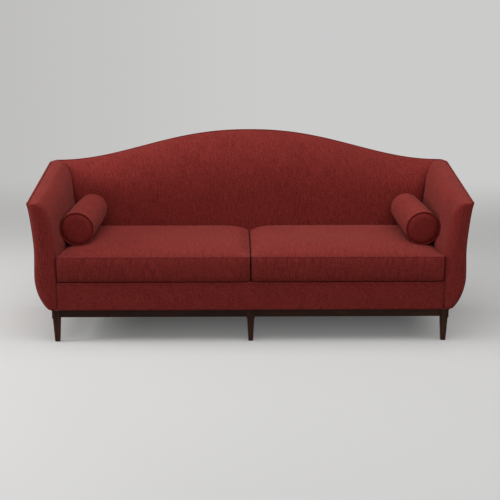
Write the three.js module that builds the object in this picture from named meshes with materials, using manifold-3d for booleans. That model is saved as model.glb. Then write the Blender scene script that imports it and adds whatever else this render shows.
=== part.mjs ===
// Camelback sofa with two loose seat cushions and two round bolsters.
// Millimetres, +X to the sitter's left, +Y to the back, +Z up.
// While the pieces are made, y = 0 is the plane of the seat's front; the finished sofa is then
// centred over its origin, which lies on the floor under the middle of the sofa.

import * as THREE from 'three';
import { mergeVertices } from 'three/addons/utils/BufferGeometryUtils.js';
import Module from 'manifold-3d';

const wasm = await Module();
wasm.setup();

// Overall sizes
const overallWidth = 2184;
const crestHeight = 984;
const shoulderHeight = 815;
const armFrontHeight = 713;
const seatDepth = 638;
const seatEdgeHeight = 442;
const fit = 0.3;
const sliver = 0.02;

// Exposed wooden base
const glideHeight = 8;
const glideRadius = 9;
const legFootWidth = 24;
const legTopWidth = 36.5;
const blockWidth = 43;
const blockHeight = 38;
const legHeight = 119;
const baseRailHeight = 30;
const baseRailThickness = 22;
const blockProud = 3;
const baseSetBack = 28;
const blockOverhang = 9;

// Seat frame, springs and deck
const seatRailHeight = 95;
const seatRailThickness = 30;
const springWireRadius = 1.9;
const springArch = 22;
const springLoopWidth = 48;
const springLoops = 9;
const springsPerSeat = 4;
const deckThickness = 30;
const borderThickness = 12;
const borderCrown = 3;
const stretcherWidth = 45;
const dustCoverThickness = 1.5;

// Arms
const armThickness = 98;
const armFlare = 25.5;
const armFlareHeightShare = 0.55;
const armBelly = 3.5;
const armBellyHeight = 345;
const armTuckWidth = 22;
const armPadding = 18;
const armFullness = 26;
const armFullnessDepth = 400;
const armInnerFlare = 36;
const armRollWidth = 28;
const armRollHeight = 110;
const armFrontCrown = 8;
const armFrontReturn = 10;
const armCrease = 12;
const armPadEdge = 4;
const armInnerRound = 45;
const armJointRound = 6;
const armPostDepth = 60;
const armPostWidth = 34;
const armRailWidth = 50;
const armRailThickness = 22;
const panelThickness = 3;
const weltRadius = 4;
const weltInset = 0.5;
const weltCorner = 8;

// Back
const backRakeShare = 0.07;
const backThickness = 84;
const humpEndInset = 47;
const backLeanShare = 0.17;
const backRollHeight = 120;
const boardThickness = 25;
const topRailDrop = 35;
const topRailHeight = 90;
const lowerRailHeight = 60;
const backPostWidth = 40;

// Loose cushions and bolsters
const cushionGap = 4;
const cushionCrown = 30;
const cushionSideGap = 2;
const cushionDrawIn = 8;
const cushionSideDraw = 3;
const cushionCornerCut = 9;
const cushionFrontBulge = 7;
const cushionEdgeRoll = 7;
const zipLength = 620;
const zipWidth = 22;
const zipThickness = 1.5;
const sliderLength = 16;
const sliderThickness = 4;
const sliderTabLength = 30;
const bolsterRadius = 84;
const bolsterLength = 438;
const bolsterBarrel = 3;
const bolsterCapCrown = 9;
const bolsterWeltRadius = 4;
const bolsterRearGap = 2;
const bolsterRise = 10;
const bolsterSideGap = 3;

// Sizes that follow from the ones above
const blockBottom = glideHeight + legHeight;
const baseTop = blockBottom + blockHeight;
const baseRailBottom = baseTop - baseRailHeight;
const upholsteryBottom = baseTop + fit;
const seatRailTop = upholsteryBottom + seatRailHeight;
const springSeat = seatRailTop + fit + springWireRadius;
const deckBottom = springSeat + springArch + springWireRadius + fit;
const deckTop = deckBottom + deckThickness;
const cushionBottom = deckTop + fit;
const backFootDepth = seatDepth + backThickness;
const humpHalfSpan = overallWidth / 2 - humpEndInset;
const armOuterTop = overallWidth / 2 - weltRadius + weltInset;
const armWaist = armOuterTop - armFlare;
const seatHalf = armWaist - armThickness;
const armMid = upholsteryBottom + armFlareHeightShare * (armFrontHeight - upholsteryBottom);
const borderHalf = seatHalf - cushionSideGap;
const armJoint = borderHalf + fit;
const armTuckEnd = armJoint + armTuckWidth;
const sideRailOuter = armTuckEnd - panelThickness - 2 * fit;
const sideRailInner = sideRailOuter - seatRailThickness;
const frameFront = borderThickness + fit;
const armPostY = armFrontReturn + armPadding;
const armWallBottom = deckTop + armPadEdge + fit;
const armWallSteps = 8;
const blockOuter = armTuckEnd + blockOverhang;
const legCentreX = blockOuter - blockWidth / 2;
const legFrontY = baseSetBack + blockWidth / 2;
const legBackY = backFootDepth - baseSetBack - blockWidth / 2;
const backBoardFront = panelThickness + boardThickness + 2 * fit;
const bolsterFromFront = seatDepth - bolsterRearGap - bolsterLength;

// Leaning lines of the back, and the curves that the upholstery follows

// The outside back is a flat plane that leans: its depth grows steadily with height.
function outsideBackY(z) {
  return backFootDepth + backRakeShare * (z - upholsteryBottom);
}

// The top of the back is one smooth hump: a cosine wave from the crest down to both shoulders.
function topLine(x) {
  const easeShare = 1.12;
  const share = Math.min(Math.abs(x) / humpHalfSpan, 1) ** easeShare;
  const rise = crestHeight - weltRadius + weltInset - shoulderHeight;
  return shoulderHeight + rise * (1 + Math.cos(Math.PI * share)) / 2;
}

// The arm's top edge is a straight line from the front corner up to the shoulder.
function armTop(y) {
  const rearY = outsideBackY(shoulderHeight);
  return armFrontHeight + (shoulderHeight - armFrontHeight) * y / rearY;
}

// The arm's outer face flares above its waist, swells a little below it and tucks under.
function armOuterX(z, top) {
  const flarePowerShare = 1.6;
  const tuckPowerShare = 0.72;
  if (z >= armMid) {
    return armWaist + armFlare * Math.min((z - armMid) / (top - armMid), 1) ** flarePowerShare;
  }
  if (z >= armBellyHeight) {
    const share = (armMid - z) / (armMid - armBellyHeight);
    return armWaist + armBelly * (1 - Math.cos(Math.PI * share)) / 2;
  }
  const share = Math.min((armBellyHeight - z) / (armBellyHeight - upholsteryBottom), 1);
  return armTuckEnd + (armWaist + armBelly - armTuckEnd) * (1 - share * share) ** tuckPowerShare;
}

// The arm's inner face swells towards the back, leans out as it rises and rolls over at the top.
function armInnerX(z, y) {
  const leanPowerShare = 1.3;
  if (z <= deckTop) {
    return armJoint;
  }
  const depthShare = Math.min(Math.max(y, 0) / armFullnessDepth, 1);
  const seatLevel = seatHalf - armFullness * Math.sin(Math.PI / 2 * depthShare);
  const top = armTop(y);
  const rise = Math.min(Math.max((z - seatEdgeHeight) / (top - seatEdgeHeight), 0), 1);
  const roll = Math.min(Math.max((z - top + armRollHeight) / armRollHeight, 0), 1);
  return seatLevel + armInnerFlare * rise ** leanPowerShare
    + armRollWidth * (1 - Math.sqrt(1 - roll * roll));
}

// The inside back stands upright behind the cushions, then leans and rolls back to the rear edge.
function insideBackY(z, x) {
  const top = topLine(x);
  const lean = seatDepth + backLeanShare * Math.max(z - seatEdgeHeight, 0);
  const leanAtTop = seatDepth + backLeanShare * (top - seatEdgeHeight);
  const rear = outsideBackY(top) - panelThickness - fit;
  const roll = Math.min(Math.max((z - top + backRollHeight) / backRollHeight, 0), 1);
  return lean + (rear - leanAtTop) * (1 - Math.sqrt(1 - roll * roll));
}

// Mesh making

function geometryFrom(positions, indices) {
  const geometry = new THREE.BufferGeometry();
  geometry.setAttribute('position', new THREE.Float32BufferAttribute(positions, 3));
  geometry.setIndex(indices);
  return geometry;
}

// Joins closed loops of equal length, each [x, y, z], into a closed body with capped ends.
// The loops run anticlockwise as seen from the end that the list runs towards. An end is capped
// from its middle or, where the loop is a thin strip, straight across from edge to edge.
function loftedSolid(loops, capAcross = false) {
  const count = loops[0].length;
  const positions = loops.flat(2);
  const indices = [];
  for (let level = 0; level < loops.length - 1; level += 1) {
    for (let step = 0; step < count; step += 1) {
      const next = (step + 1) % count;
      const a = level * count + step;
      const b = level * count + next;
      const c = a + count;
      const d = b + count;
      indices.push(a, b, d, a, d, c);
    }
  }
  for (const [level, outward] of [[0, false], [loops.length - 1, true]]) {
    if (capAcross) {
      const first = level * count;
      const last = first + count - 1;
      for (let step = 0; step < count / 2 - 1; step += 1) {
        const corners = [first + step, first + step + 1, last - step - 1, last - step];
        const [a, b, c, d] = outward ? corners : corners.reverse();
        indices.push(a, b, c, a, c, d);
      }
      continue;
    }
    const centre = [0, 1, 2].map((axis) => {
      const total = loops[level].reduce((sum, point) => sum + point[axis], 0);
      return total / count;
    });
    const centreIndex = positions.length / 3;
    positions.push(...centre);
    for (let step = 0; step < count; step += 1) {
      const next = (step + 1) % count;
      const a = level * count + step;
      const b = level * count + next;
      indices.push(...(outward ? [centreIndex, a, b] : [centreIndex, b, a]));
    }
  }
  return geometryFrom(positions, indices);
}

// A box given by its low and high corners.
function boxBetween(low, high) {
  const size = low.map((value, axis) => high[axis] - value);
  const geometry = new THREE.BoxGeometry(...size);
  return geometry.translate(...low.map((value, axis) => value + size[axis] / 2));
}

// A flat outline of [x, z] points in the XZ plane, made into a board from y = near to y = far.
function boardInXZ(outline, near, far) {
  const shape = new THREE.Shape(outline.map(([x, z]) => new THREE.Vector2(x, z)));
  const geometry = new THREE.ExtrudeGeometry(shape, { depth: far - near, bevelEnabled: false });
  return geometry.rotateX(Math.PI / 2).translate(0, far, 0);
}

// Shears a piece so that its upright faces follow the rake of the back.
function leanedBack(geometry) {
  const place = geometry.getAttribute('position');
  for (let i = 0; i < place.count; i += 1) {
    place.setY(i, place.getY(i) + outsideBackY(place.getZ(i)));
  }
  return geometry;
}

// A round cord of the given radius along a list of points, closed at both ends.
function cordAlong(points, radius, sides) {
  const up = new THREE.Vector3(0, 0, 1);
  const loops = points.map((point, i) => {
    const before = points[Math.max(i - 1, 0)];
    const after = points[Math.min(i + 1, points.length - 1)];
    const along = new THREE.Vector3().subVectors(after, before).normalize();
    const reference = Math.abs(along.dot(up)) > Math.SQRT1_2 ? cordAlong.upright : up;
    const across = new THREE.Vector3().crossVectors(reference, along).normalize();
    return { point, along, across };
  });
  for (let i = 1; i < loops.length; i += 1) {
    const carried = loops[i - 1].across.clone();
    carried.addScaledVector(loops[i].along, -carried.dot(loops[i].along)).normalize();
    loops[i].across = carried;
  }
  return loftedSolid(loops.map(({ point, along, across }) => {
    const upward = new THREE.Vector3().crossVectors(along, across);
    return Array.from({ length: sides }, (_, side) => {
      const angle = 2 * Math.PI * side / sides;
      const place = point.clone()
        .addScaledVector(across, radius * Math.cos(angle))
        .addScaledVector(upward, radius * Math.sin(angle));
      return place.toArray();
    });
  }));
}
cordAlong.upright = new THREE.Vector3(1, 0, 0);

// The same piece on the other side of the sofa.
function mirrored(geometry) {
  const copy = geometry.clone();
  copy.applyMatrix4(new THREE.Matrix4().makeScale(-1, 1, 1));
  if (!copy.index) {
    copy.setIndex(Array.from({ length: copy.getAttribute('position').count }, (_, i) => i));
  }
  const index = copy.index.array;
  for (let i = 0; i < index.length; i += 3) {
    [index[i], index[i + 1]] = [index[i + 1], index[i]];
  }
  return copy;
}

function solidOf(geometry) {
  const bare = geometry.clone();
  bare.deleteAttribute('normal');
  bare.deleteAttribute('uv');
  const merged = mergeVertices(bare);
  return new wasm.Manifold(new wasm.Mesh({
    numProp: 3,
    vertProperties: Float32Array.from(merged.getAttribute('position').array),
    triVerts: Uint32Array.from(merged.index.array),
  }));
}

function geometryOf(solid) {
  const mesh = solid.getMesh();
  return geometryFrom(Array.from(mesh.vertProperties), Array.from(mesh.triVerts));
}

// What is left of a piece once other pieces have been cut out of it, rid of tiny slivers.
function cutBy(geometry, ...cutters) {
  let solid = solidOf(geometry);
  for (const cutter of cutters) {
    solid = solid.subtract(solidOf(cutter));
  }
  return geometryOf(solid.simplify(sliver));
}

// Materials

function finish(color, roughness, metalness = 0) {
  return new THREE.MeshStandardMaterial({ color, roughness, metalness });
}
const fabric = finish(0x7d2622, 0.9);
const weltFabric = finish(0x6a1d1a, 0.9);
const espressoWood = finish(0x2c1d17, 0.45);
const frameWood = finish(0xb08d5e, 0.8);
const deckCloth = finish(0x5d2220, 0.95);
const blackCloth = finish(0x17171a, 0.95);
const springSteel = finish(0x6f7277, 0.35, 1);
const glideNylon = finish(0x1b1714, 0.5);
const zipTape = finish(0x4b1816, 0.8);
const zipMetal = finish(0x8c8474, 0.35, 1);

const sofa = new THREE.Group();

function place(name, geometry, material, parent = sofa) {
  const mesh = new THREE.Mesh(geometry, material);
  mesh.name = name;
  parent.add(mesh);
  return mesh;
}

const sides = [['left', -1], ['right', 1]];

// Legs: a square block that stands proud of the rails, a square taper below it, a nylon glide

function legGeometry() {
  const levels = [
    [glideHeight, legFootWidth],
    [blockBottom, legTopWidth],
    [blockBottom, blockWidth],
    [baseTop, blockWidth],
  ];
  return loftedSolid(levels.map(([z, width]) => {
    const half = width / 2;
    return [[-half, -half, z], [half, -half, z], [half, half, z], [-half, half, z]];
  }));
}

function glideGeometry() {
  const easing = glideHeight / 4;
  const profile = [
    new THREE.Vector2(0, 0),
    new THREE.Vector2(glideRadius - easing, 0),
    new THREE.Vector2(glideRadius, easing),
    new THREE.Vector2(glideRadius, glideHeight - fit),
    new THREE.Vector2(0, glideHeight - fit),
  ];
  return new THREE.LatheGeometry(profile, 12).rotateX(Math.PI / 2);
}

for (const [row, y] of [['front', legFrontY], ['back', legBackY]]) {
  for (const [column, x] of [['left', -legCentreX], ['centre', 0], ['right', legCentreX]]) {
    const group = new THREE.Group();
    group.position.set(x, y, 0);
    sofa.add(group);
    place(`leg_${row}_${column}`, legGeometry(), espressoWood, group);
    place(`glide_${row}_${column}`, glideGeometry(), glideNylon, group);
  }
}

// Base rails: dark wooden strips let in between the leg blocks

const railOutsets = {
  front: [baseSetBack + blockProud, baseSetBack + blockProud + baseRailThickness],
  back: [
    backFootDepth - baseSetBack - blockProud - baseRailThickness,
    backFootDepth - baseSetBack - blockProud,
  ],
};
for (const [row, [near, far]] of Object.entries(railOutsets)) {
  for (const [side, sign] of sides) {
    const from = blockWidth / 2 + fit;
    const to = legCentreX - blockWidth / 2 - fit;
    const ends = [sign * from, sign * to].sort((a, b) => a - b);
    place(`base_rail_${row}_${side}`,
      boxBetween([ends[0], near, baseRailBottom], [ends[1], far, baseTop]), espressoWood);
  }
}
for (const [side, sign] of sides) {
  const outer = blockOuter - blockProud;
  const ends = [sign * outer, sign * (outer - baseRailThickness)].sort((a, b) => a - b);
  place(`base_rail_${side}`, boxBetween(
    [ends[0], legFrontY + blockWidth / 2 + fit, baseRailBottom],
    [ends[1], legBackY - blockWidth / 2 - fit, baseTop],
  ), espressoWood);
}

// Seat frame: four hardwood rails and a centre stretcher

const seatFrameRear = outsideBackY(upholsteryBottom) - backBoardFront - fit;
place('seat_rail_front', boxBetween(
  [-sideRailInner + fit, frameFront, upholsteryBottom],
  [sideRailInner - fit, frameFront + seatRailThickness, seatRailTop],
), frameWood);
place('seat_rail_back', boxBetween(
  [-sideRailInner + fit, seatFrameRear - seatRailThickness, upholsteryBottom],
  [sideRailInner - fit, seatFrameRear, seatRailTop],
), frameWood);
for (const [side, sign] of sides) {
  const ends = [sign * sideRailInner, sign * sideRailOuter].sort((a, b) => a - b);
  place(`seat_rail_${side}`, boxBetween(
    [ends[0], armPostY + fit, upholsteryBottom],
    [ends[1], outsideBackY(upholsteryBottom) - panelThickness - fit, seatRailTop],
  ), frameWood);
}
place('seat_stretcher', boxBetween(
  [-stretcherWidth / 2, frameFront + seatRailThickness + fit, upholsteryBottom + seatRailHeight / 4],
  [stretcherWidth / 2, seatFrameRear - seatRailThickness - fit, seatRailTop - springWireRadius],
), frameWood);

// Sinuous springs: arched zigzag wires clipped to the tops of the front and back seat rails

function springGeometry(x) {
  const start = frameFront + seatRailThickness / 2;
  const end = seatFrameRear - seatRailThickness / 2;
  const crossShares = [1, 1, -1, -1];
  const points = [];
  const steps = springLoops * crossShares.length;
  for (let step = 0; step <= steps; step += 1) {
    const share = step / steps;
    const crossShare = crossShares[step % crossShares.length];
    points.push(new THREE.Vector3(
      x + crossShare * springLoopWidth / 2,
      start + (end - start) * share,
      springSeat + springArch * Math.sin(Math.PI * share),
    ));
  }
  return cordAlong(points, springWireRadius, 4);
}

for (const [side, sign] of sides) {
  for (let i = 0; i < springsPerSeat; i += 1) {
    const x = sign * sideRailInner * (i + 1 / 2) / springsPerSeat;
    place(`seat_spring_${side}_${i + 1}`, springGeometry(x), springSteel);
  }
}

// Seat deck: a pad of felt and decking cloth over the springs

place('seat_deck', boxBetween(
  [-borderHalf, frameFront, deckBottom],
  [borderHalf, outsideBackY(deckBottom) - backBoardFront - fit, deckTop],
), deckCloth);

// Front border: padded fabric over the front rail, slightly crowned from top to bottom

function borderGeometry() {
  const crownShares = [0, 0.6, 0.9, 1, 0.9, 0.6, 0];
  const loop = (x) => {
    const face = crownShares.map((share, i) => {
      const z = deckTop - (deckTop - upholsteryBottom) * i / (crownShares.length - 1);
      return [x, -borderCrown * share, z];
    });
    return [...face, [x, borderThickness, upholsteryBottom], [x, borderThickness, deckTop]];
  };
  return loftedSolid([loop(-borderHalf), loop(borderHalf)]);
}
place('front_border', borderGeometry(), fabric);

// Dust cover: black cloth under the frame, notched round the leg blocks

function dustCoverGeometry() {
  const sideX = blockOuter - blockProud - baseRailThickness - fit;
  const cornerX = legCentreX - blockWidth / 2 - fit;
  const centreX = blockWidth / 2 + fit;
  const front = railOutsets.front[1] + fit;
  const back = railOutsets.back[0] - fit;
  const frontNotch = legFrontY + blockWidth / 2 + fit;
  const backNotch = legBackY - blockWidth / 2 - fit;
  const half = [
    [centreX, front], [cornerX, front], [cornerX, frontNotch], [sideX, frontNotch],
    [sideX, backNotch], [cornerX, backNotch], [cornerX, back], [centreX, back],
    [centreX, backNotch],
  ];
  const otherHalf = [...half].reverse().map(([x, y]) => [-x, y]);
  const outline = [[centreX, frontNotch], ...half, ...otherHalf, [-centreX, frontNotch]];
  const shape = new THREE.Shape(outline.map(([x, y]) => new THREE.Vector2(x, y)));
  const geometry = new THREE.ExtrudeGeometry(shape, {
    depth: dustCoverThickness, bevelEnabled: false,
  });
  return geometry.translate(0, 0, baseTop - dustCoverThickness);
}
place('dust_cover', dustCoverGeometry(), blackCloth);

// Back frame: two posts, a bandsawn camelback top rail, a lower rail and a centre post

const boardNear = -backBoardFront;
const boardFar = -panelThickness - 2 * fit;

const backPostTop = topLine(sideRailOuter + fit + backPostWidth) - topRailDrop;
for (const [side, sign] of sides) {
  const inner = sign * (sideRailOuter + fit);
  const outer = sign * (sideRailOuter + fit + backPostWidth);
  const lowEnd = armBellyHeight - (armBellyHeight - upholsteryBottom) * 2 / 3;
  const outline = [[inner, lowEnd], [outer, lowEnd], [outer, backPostTop], [inner, backPostTop]];
  place(`back_post_${side}`, leanedBack(boardInXZ(outline, boardNear, boardFar)), frameWood);
}

function camelBoard(lowDrop, highDrop, half, near, far) {
  const steps = 28;
  const xs = Array.from({ length: steps + 1 }, (_, i) => -half + 2 * half * i / steps);
  const lower = xs.map((x) => [x, topLine(x) - lowDrop]);
  const upper = [...xs].reverse().map((x) => [x, topLine(x) - highDrop]);
  return leanedBack(boardInXZ([...lower, ...upper], near, far));
}
place('back_top_rail', camelBoard(topRailDrop + topRailHeight, topRailDrop,
  sideRailOuter, boardNear, boardFar), frameWood);

const lowerRailBottom = seatRailTop + fit;
const lowerRailTop = lowerRailBottom + lowerRailHeight;
place('back_lower_rail', leanedBack(boardInXZ([
  [-sideRailOuter, lowerRailBottom], [sideRailOuter, lowerRailBottom],
  [sideRailOuter, lowerRailTop], [-sideRailOuter, lowerRailTop],
], boardNear, boardFar)), frameWood);

const centrePostTop = topLine(backPostWidth) - topRailDrop - topRailHeight - fit;
place('back_post_centre', leanedBack(boardInXZ([
  [-backPostWidth / 2, lowerRailTop + fit], [backPostWidth / 2, lowerRailTop + fit],
  [backPostWidth / 2, centrePostTop], [-backPostWidth / 2, centrePostTop],
], boardNear, boardFar)), frameWood);

// Arm frame: a shaped front post and a sloping top rail in each arm

// The inner face of the arm's hollow, in straight steps that follow the padded face.
function armWallX(z, y) {
  const top = armTop(y) - armPadding;
  const place = Math.max((z - armWallBottom) / (top - armWallBottom), 0) * armWallSteps;
  const step = Math.min(Math.floor(place), armWallSteps - 1);
  const faceAt = (index) => armPadding
    + armInnerX(armWallBottom + (top - armWallBottom) * index / armWallSteps, y);
  return faceAt(step) + (faceAt(step + 1) - faceAt(step)) * (place - step);
}

function armPostGeometry(sign) {
  const top = armTop(armPostY) - armPadding - fit - armRailThickness - fit;
  const levels = 8;
  const bottom = armBellyHeight - (armBellyHeight - upholsteryBottom) * 2 / 3;
  const heights = Array.from({ length: levels + 1 }, (_, i) => bottom + (top - bottom) * i / levels);
  const innerEdge = heights.map((z) => {
    const padded = armWallX(z, armPostY) + fit;
    return [z <= deckTop ? sideRailOuter + fit : Math.max(padded, sideRailOuter + fit), z];
  });
  const outerEdge = innerEdge.map(([x, z]) => {
    const room = armOuterX(z, armTop(armPostY)) - panelThickness - 2 * fit;
    return [Math.min(x + armPostWidth, room), z];
  });
  const outline = [...innerEdge, ...outerEdge.reverse()].map(([x, z]) => [sign * x, z]);
  return boardInXZ(outline, armPostY + fit, armPostY + armPostDepth);
}

function armRailGeometry() {
  const loop = (y) => {
    const top = armTop(y) - armPadding - fit;
    const bottom = top - armRailThickness;
    const outer = armOuterX(bottom, armTop(y)) - panelThickness - 2 * fit;
    const inner = outer - armRailWidth;
    return [[inner, y, bottom], [inner, y, top], [outer, y, top], [outer, y, bottom]];
  };
  const rear = outsideBackY(armTop(seatDepth)) - backBoardFront - 2 * fit - armRailThickness / 4;
  return loftedSolid([loop(armPostY + fit), loop(rear)]);
}

for (const [side, sign] of sides) {
  place(`arm_post_${side}`, armPostGeometry(sign), frameWood);
  const rail = armRailGeometry();
  place(`arm_top_rail_${side}`, sign > 0 ? rail : mirrored(rail), frameWood);
}

// Arm upholstery

// Depth of the outside back's inner side along a line of changing height.
function rearAlong(heightAt) {
  let y = backFootDepth;
  for (let pass = 0; pass < 4; pass += 1) {
    y = outsideBackY(heightAt(y)) - panelThickness - fit;
  }
  return y;
}

// The front of the arm is a pillow: a long quarter ellipse from the inner face round to its most
// forward point, and a short one from there to the outer edge, where the welt lies.
function armFrontPoints(inner, outer, round) {
  const forwardShare = 0.4;
  const forwardX = outer - forwardShare * (outer - inner);
  const innerSteps = 6;
  const outerSteps = 4;
  const points = [];
  for (let i = 0; i <= innerSteps; i += 1) {
    const angle = Math.PI / 2 * i / innerSteps;
    const y = round - (armFrontCrown + round) * Math.sin(angle);
    points.push([forwardX - (forwardX - inner) * Math.cos(angle), y]);
  }
  for (let i = 1; i <= outerSteps; i += 1) {
    const angle = Math.PI / 2 * i / outerSteps;
    const y = armFrontReturn - (armFrontCrown + armFrontReturn) * Math.cos(angle);
    points.push([forwardX + (outer - forwardX) * Math.sin(angle), y]);
  }
  return points;
}

// One section of the right-hand arm, seen from above.
function armLoop(heightAt) {
  const frontZ = heightAt(0);
  const roundShare = Math.min(Math.max((frontZ - deckTop) / (armMid - deckTop), 0), 1);
  const round = armJointRound + (armInnerRound - armJointRound) * roundShare;
  const outerX = (y) => armOuterX(heightAt(y), armTop(y)) - panelThickness - fit;
  const crease = Math.min(Math.max((frontZ - armFrontHeight + armCrease) / armCrease, 0), 1);
  const setBack = armCrease * (1 - Math.sqrt(1 - crease * crease));
  const front = armFrontPoints(armInnerX(frontZ, 0), outerX(0), round)
    .map(([x, y]) => [x, y + setBack * (armFrontReturn + armFrontCrown) / armInnerRound]);
  const rear = rearAlong(heightAt);
  const outerSteps = 3;
  const outerSide = Array.from({ length: outerSteps }, (_, i) => {
    const y = armFrontReturn + (rear - armFrontReturn) * (i + 1) / outerSteps;
    return [outerX(y), y];
  });
  const innerSteps = 9;
  const innerSide = Array.from({ length: innerSteps }, (_, i) => {
    const y = rear - (rear - round) * i / innerSteps;
    return [armInnerX(heightAt(y), y), y];
  });
  return [...front, ...outerSide, ...innerSide].map(([x, y]) => [x, y, heightAt(y)]);
}

// The arm is sectioned at fixed heights up to its waist, then at shares of what is left.
const armTuckShares = [0, 0.06, 0.16, 0.3, 0.48, 0.7];
const armRiseShares = [0.15, 0.3, 0.45, 0.6, 0.72, 0.82, 0.9, 0.95, 0.985, 1];
const armLowHeights = [
  ...armTuckShares.map((share) => upholsteryBottom + (armBellyHeight - upholsteryBottom) * share),
  deckTop, deckTop + armPadEdge, armBellyHeight,
  (armMid + armBellyHeight) / 2, seatEdgeHeight, armMid,
].sort((a, b) => a - b);

function armBody() {
  const low = armLowHeights.map((z) => armLoop(() => z));
  const high = armRiseShares.map((share) => armLoop((y) => armMid + (armTop(y) - armMid) * share));
  return loftedSolid([...low, ...high]);
}

// The room inside the arm for its frame: open below, at the outer side and at the rear.
function armRoom() {
  const overrun = armThickness;
  const outer = armOuterTop + overrun;
  const stations = 6;
  const rear = backFootDepth + overrun;
  const floor = upholsteryBottom - overrun;
  return loftedSolid(Array.from({ length: stations + 1 }, (_, i) => {
    const y = armPostY + (rear - armPostY) * i / stations;
    const top = armTop(y) - armPadding;
    const wall = Array.from({ length: armWallSteps + 1 }, (_, step) => {
      const z = armWallBottom + (top - armWallBottom) * step / armWallSteps;
      return [armWallX(z, y), y, z];
    });
    const below = [[armJoint - overrun, y, floor], [armJoint - overrun, y, armWallBottom]];
    const outside = [floor, upholsteryBottom, ...wall.map((point) => point[2])]
      .map((z) => [outer, y, z]);
    return [...below, ...wall, ...outside.reverse()];
  }), true);
}

// The room behind the padding for the boards of the back, right across the sofa.
function backRoom() {
  const reach = overallWidth;
  const steps = 28;
  const half = sideRailOuter;
  const xs = Array.from({ length: steps + 1 }, (_, i) => half - 2 * half * i / steps);
  const upper = [reach, ...xs, -reach].map((x) => [x, topLine(x) - topRailDrop + fit]);
  const outline = [[-reach, 0], [reach, 0], ...upper];
  return leanedBack(boardInXZ(outline, -backBoardFront - fit, boardThickness));
}

// Welts: fabric-covered cord along the outer edge of each arm and along the top of the back

function armWeltPoints() {
  const rear = rearAlong(armTop) - 2 * weltRadius;
  const topSteps = 8;
  const points = [];
  const topX = armOuterTop - weltInset;
  const cornerEnd = armFrontReturn + weltCorner;
  for (let i = 0; i <= topSteps; i += 1) {
    const y = rear + (cornerEnd - rear) * i / topSteps;
    points.push(new THREE.Vector3(topX, y, armTop(y) - weltInset));
  }
  const lowShares = [0.07, 0.2, 0.35, 0.55, 0.8, 1];
  const down = [];
  const cornerZ = armTop(0) - weltCorner;
  down.push(...lowShares.map((share) => cornerZ - (cornerZ - armMid) * share));
  down.push((armMid + armBellyHeight) / 2, armBellyHeight);
  const tuck = armBellyHeight - upholsteryBottom - weltRadius;
  const tuckSteps = 9;
  for (let i = 1; i <= tuckSteps; i += 1) {
    down.push(armBellyHeight - tuck * Math.sin(Math.PI / 2 * i / tuckSteps));
  }
  const edgeX = (z) => armOuterX(z, armTop(0)) - weltInset;
  const cornerSteps = 4;
  for (let i = 1; i <= cornerSteps; i += 1) {
    const angle = Math.PI / 2 * i / cornerSteps;
    const y = cornerEnd - weltCorner * Math.sin(angle);
    const z = cornerZ + weltCorner * Math.cos(angle) - weltInset;
    points.push(new THREE.Vector3(edgeX(z), y, z));
  }
  points.push(...down.map((z) => new THREE.Vector3(edgeX(z), armFrontReturn, z)));
  return points;
}

function backWeltPoints() {
  const half = armOuterTop - weltInset + weltRadius;
  const steps = 42;
  return Array.from({ length: steps + 1 }, (_, i) => {
    const x = -half + 2 * half * i / steps;
    const z = topLine(x) - weltInset;
    return new THREE.Vector3(x, outsideBackY(z) - weltRadius + weltInset, z);
  });
}

// The same path, a little longer at each end, for the groove that the welt lies in.
function lengthened(points) {
  const first = points[0].clone().sub(points[1]).setLength(weltRadius).add(points[0]);
  const end = points.length - 1;
  const last = points[end].clone().sub(points[end - 1]).setLength(weltRadius).add(points[end]);
  return [first, ...points, last];
}

const weltSides = 8;
const armWelt = cordAlong(armWeltPoints(), weltRadius, weltSides);
const armGroove = cordAlong(lengthened(armWeltPoints()), weltRadius + 2 * fit, weltSides);
const backWelt = cordAlong(backWeltPoints(), weltRadius, weltSides);
const backGroove = cordAlong(lengthened(backWeltPoints()), weltRadius + 2 * fit, weltSides);
place('arm_welt_right', armWelt, weltFabric);
place('arm_welt_left', mirrored(armWelt), weltFabric);
place('back_welt', backWelt, weltFabric);

const armPad = cutBy(armBody(), armRoom(), backRoom(), armGroove, backGroove);
place('arm_pad_right', armPad, fabric);
place('arm_pad_left', mirrored(armPad), fabric);

// Outside arm panel: fabric over board, from the front welt to the rear edge
function armPanelGeometry() {
  const stations = 6;
  const front = armFrontReturn + weltRadius;
  const loops = Array.from({ length: stations + 1 }, (_, i) => {
    const share = i / stations;
    const depthAt = (z) => front + (outsideBackY(z) - panelThickness - fit - front) * share;
    const topY = front + (rearAlong(armTop) - front) * share;
    const heights = [
      ...armLowHeights,
      ...armRiseShares.map((part) => armMid + (armTop(topY) - armMid) * part),
    ];
    const outer = heights.map((z) => [armOuterX(z, armTop(topY)), depthAt(z), z]);
    const inner = heights.map((z) => [
      armOuterX(z, armTop(topY)) - panelThickness, depthAt(z), z,
    ]);
    return [...inner, ...outer.reverse()];
  });
  return loftedSolid(loops, true);
}
const armPanel = cutBy(armPanelGeometry(), armGroove, backGroove);
place('arm_outside_right', armPanel, fabric);
place('arm_outside_left', mirrored(armPanel), fabric);

// Back upholstery: the inside back between the arms, and the flat outside back

function insideBackGeometry() {
  const half = seatHalf + armInnerFlare;
  const stations = 34;
  const riseShares = [0.3, 0.55, 0.72, 0.84, 0.92, 0.97, 1];
  return loftedSolid(Array.from({ length: stations + 1 }, (_, i) => {
    const x = -half + 2 * half * i / stations;
    const top = topLine(x);
    const rear = (z) => outsideBackY(z) - panelThickness - fit;
    const heights = [
      cushionBottom, seatEdgeHeight,
      ...riseShares.map((share) => seatEdgeHeight + (top - seatEdgeHeight) * share),
    ];
    const face = heights.map((z) => [x, Math.min(insideBackY(z, x), rear(z)), z]);
    return [...face.reverse(), [x, rear(cushionBottom), cushionBottom]];
  }));
}

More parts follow.
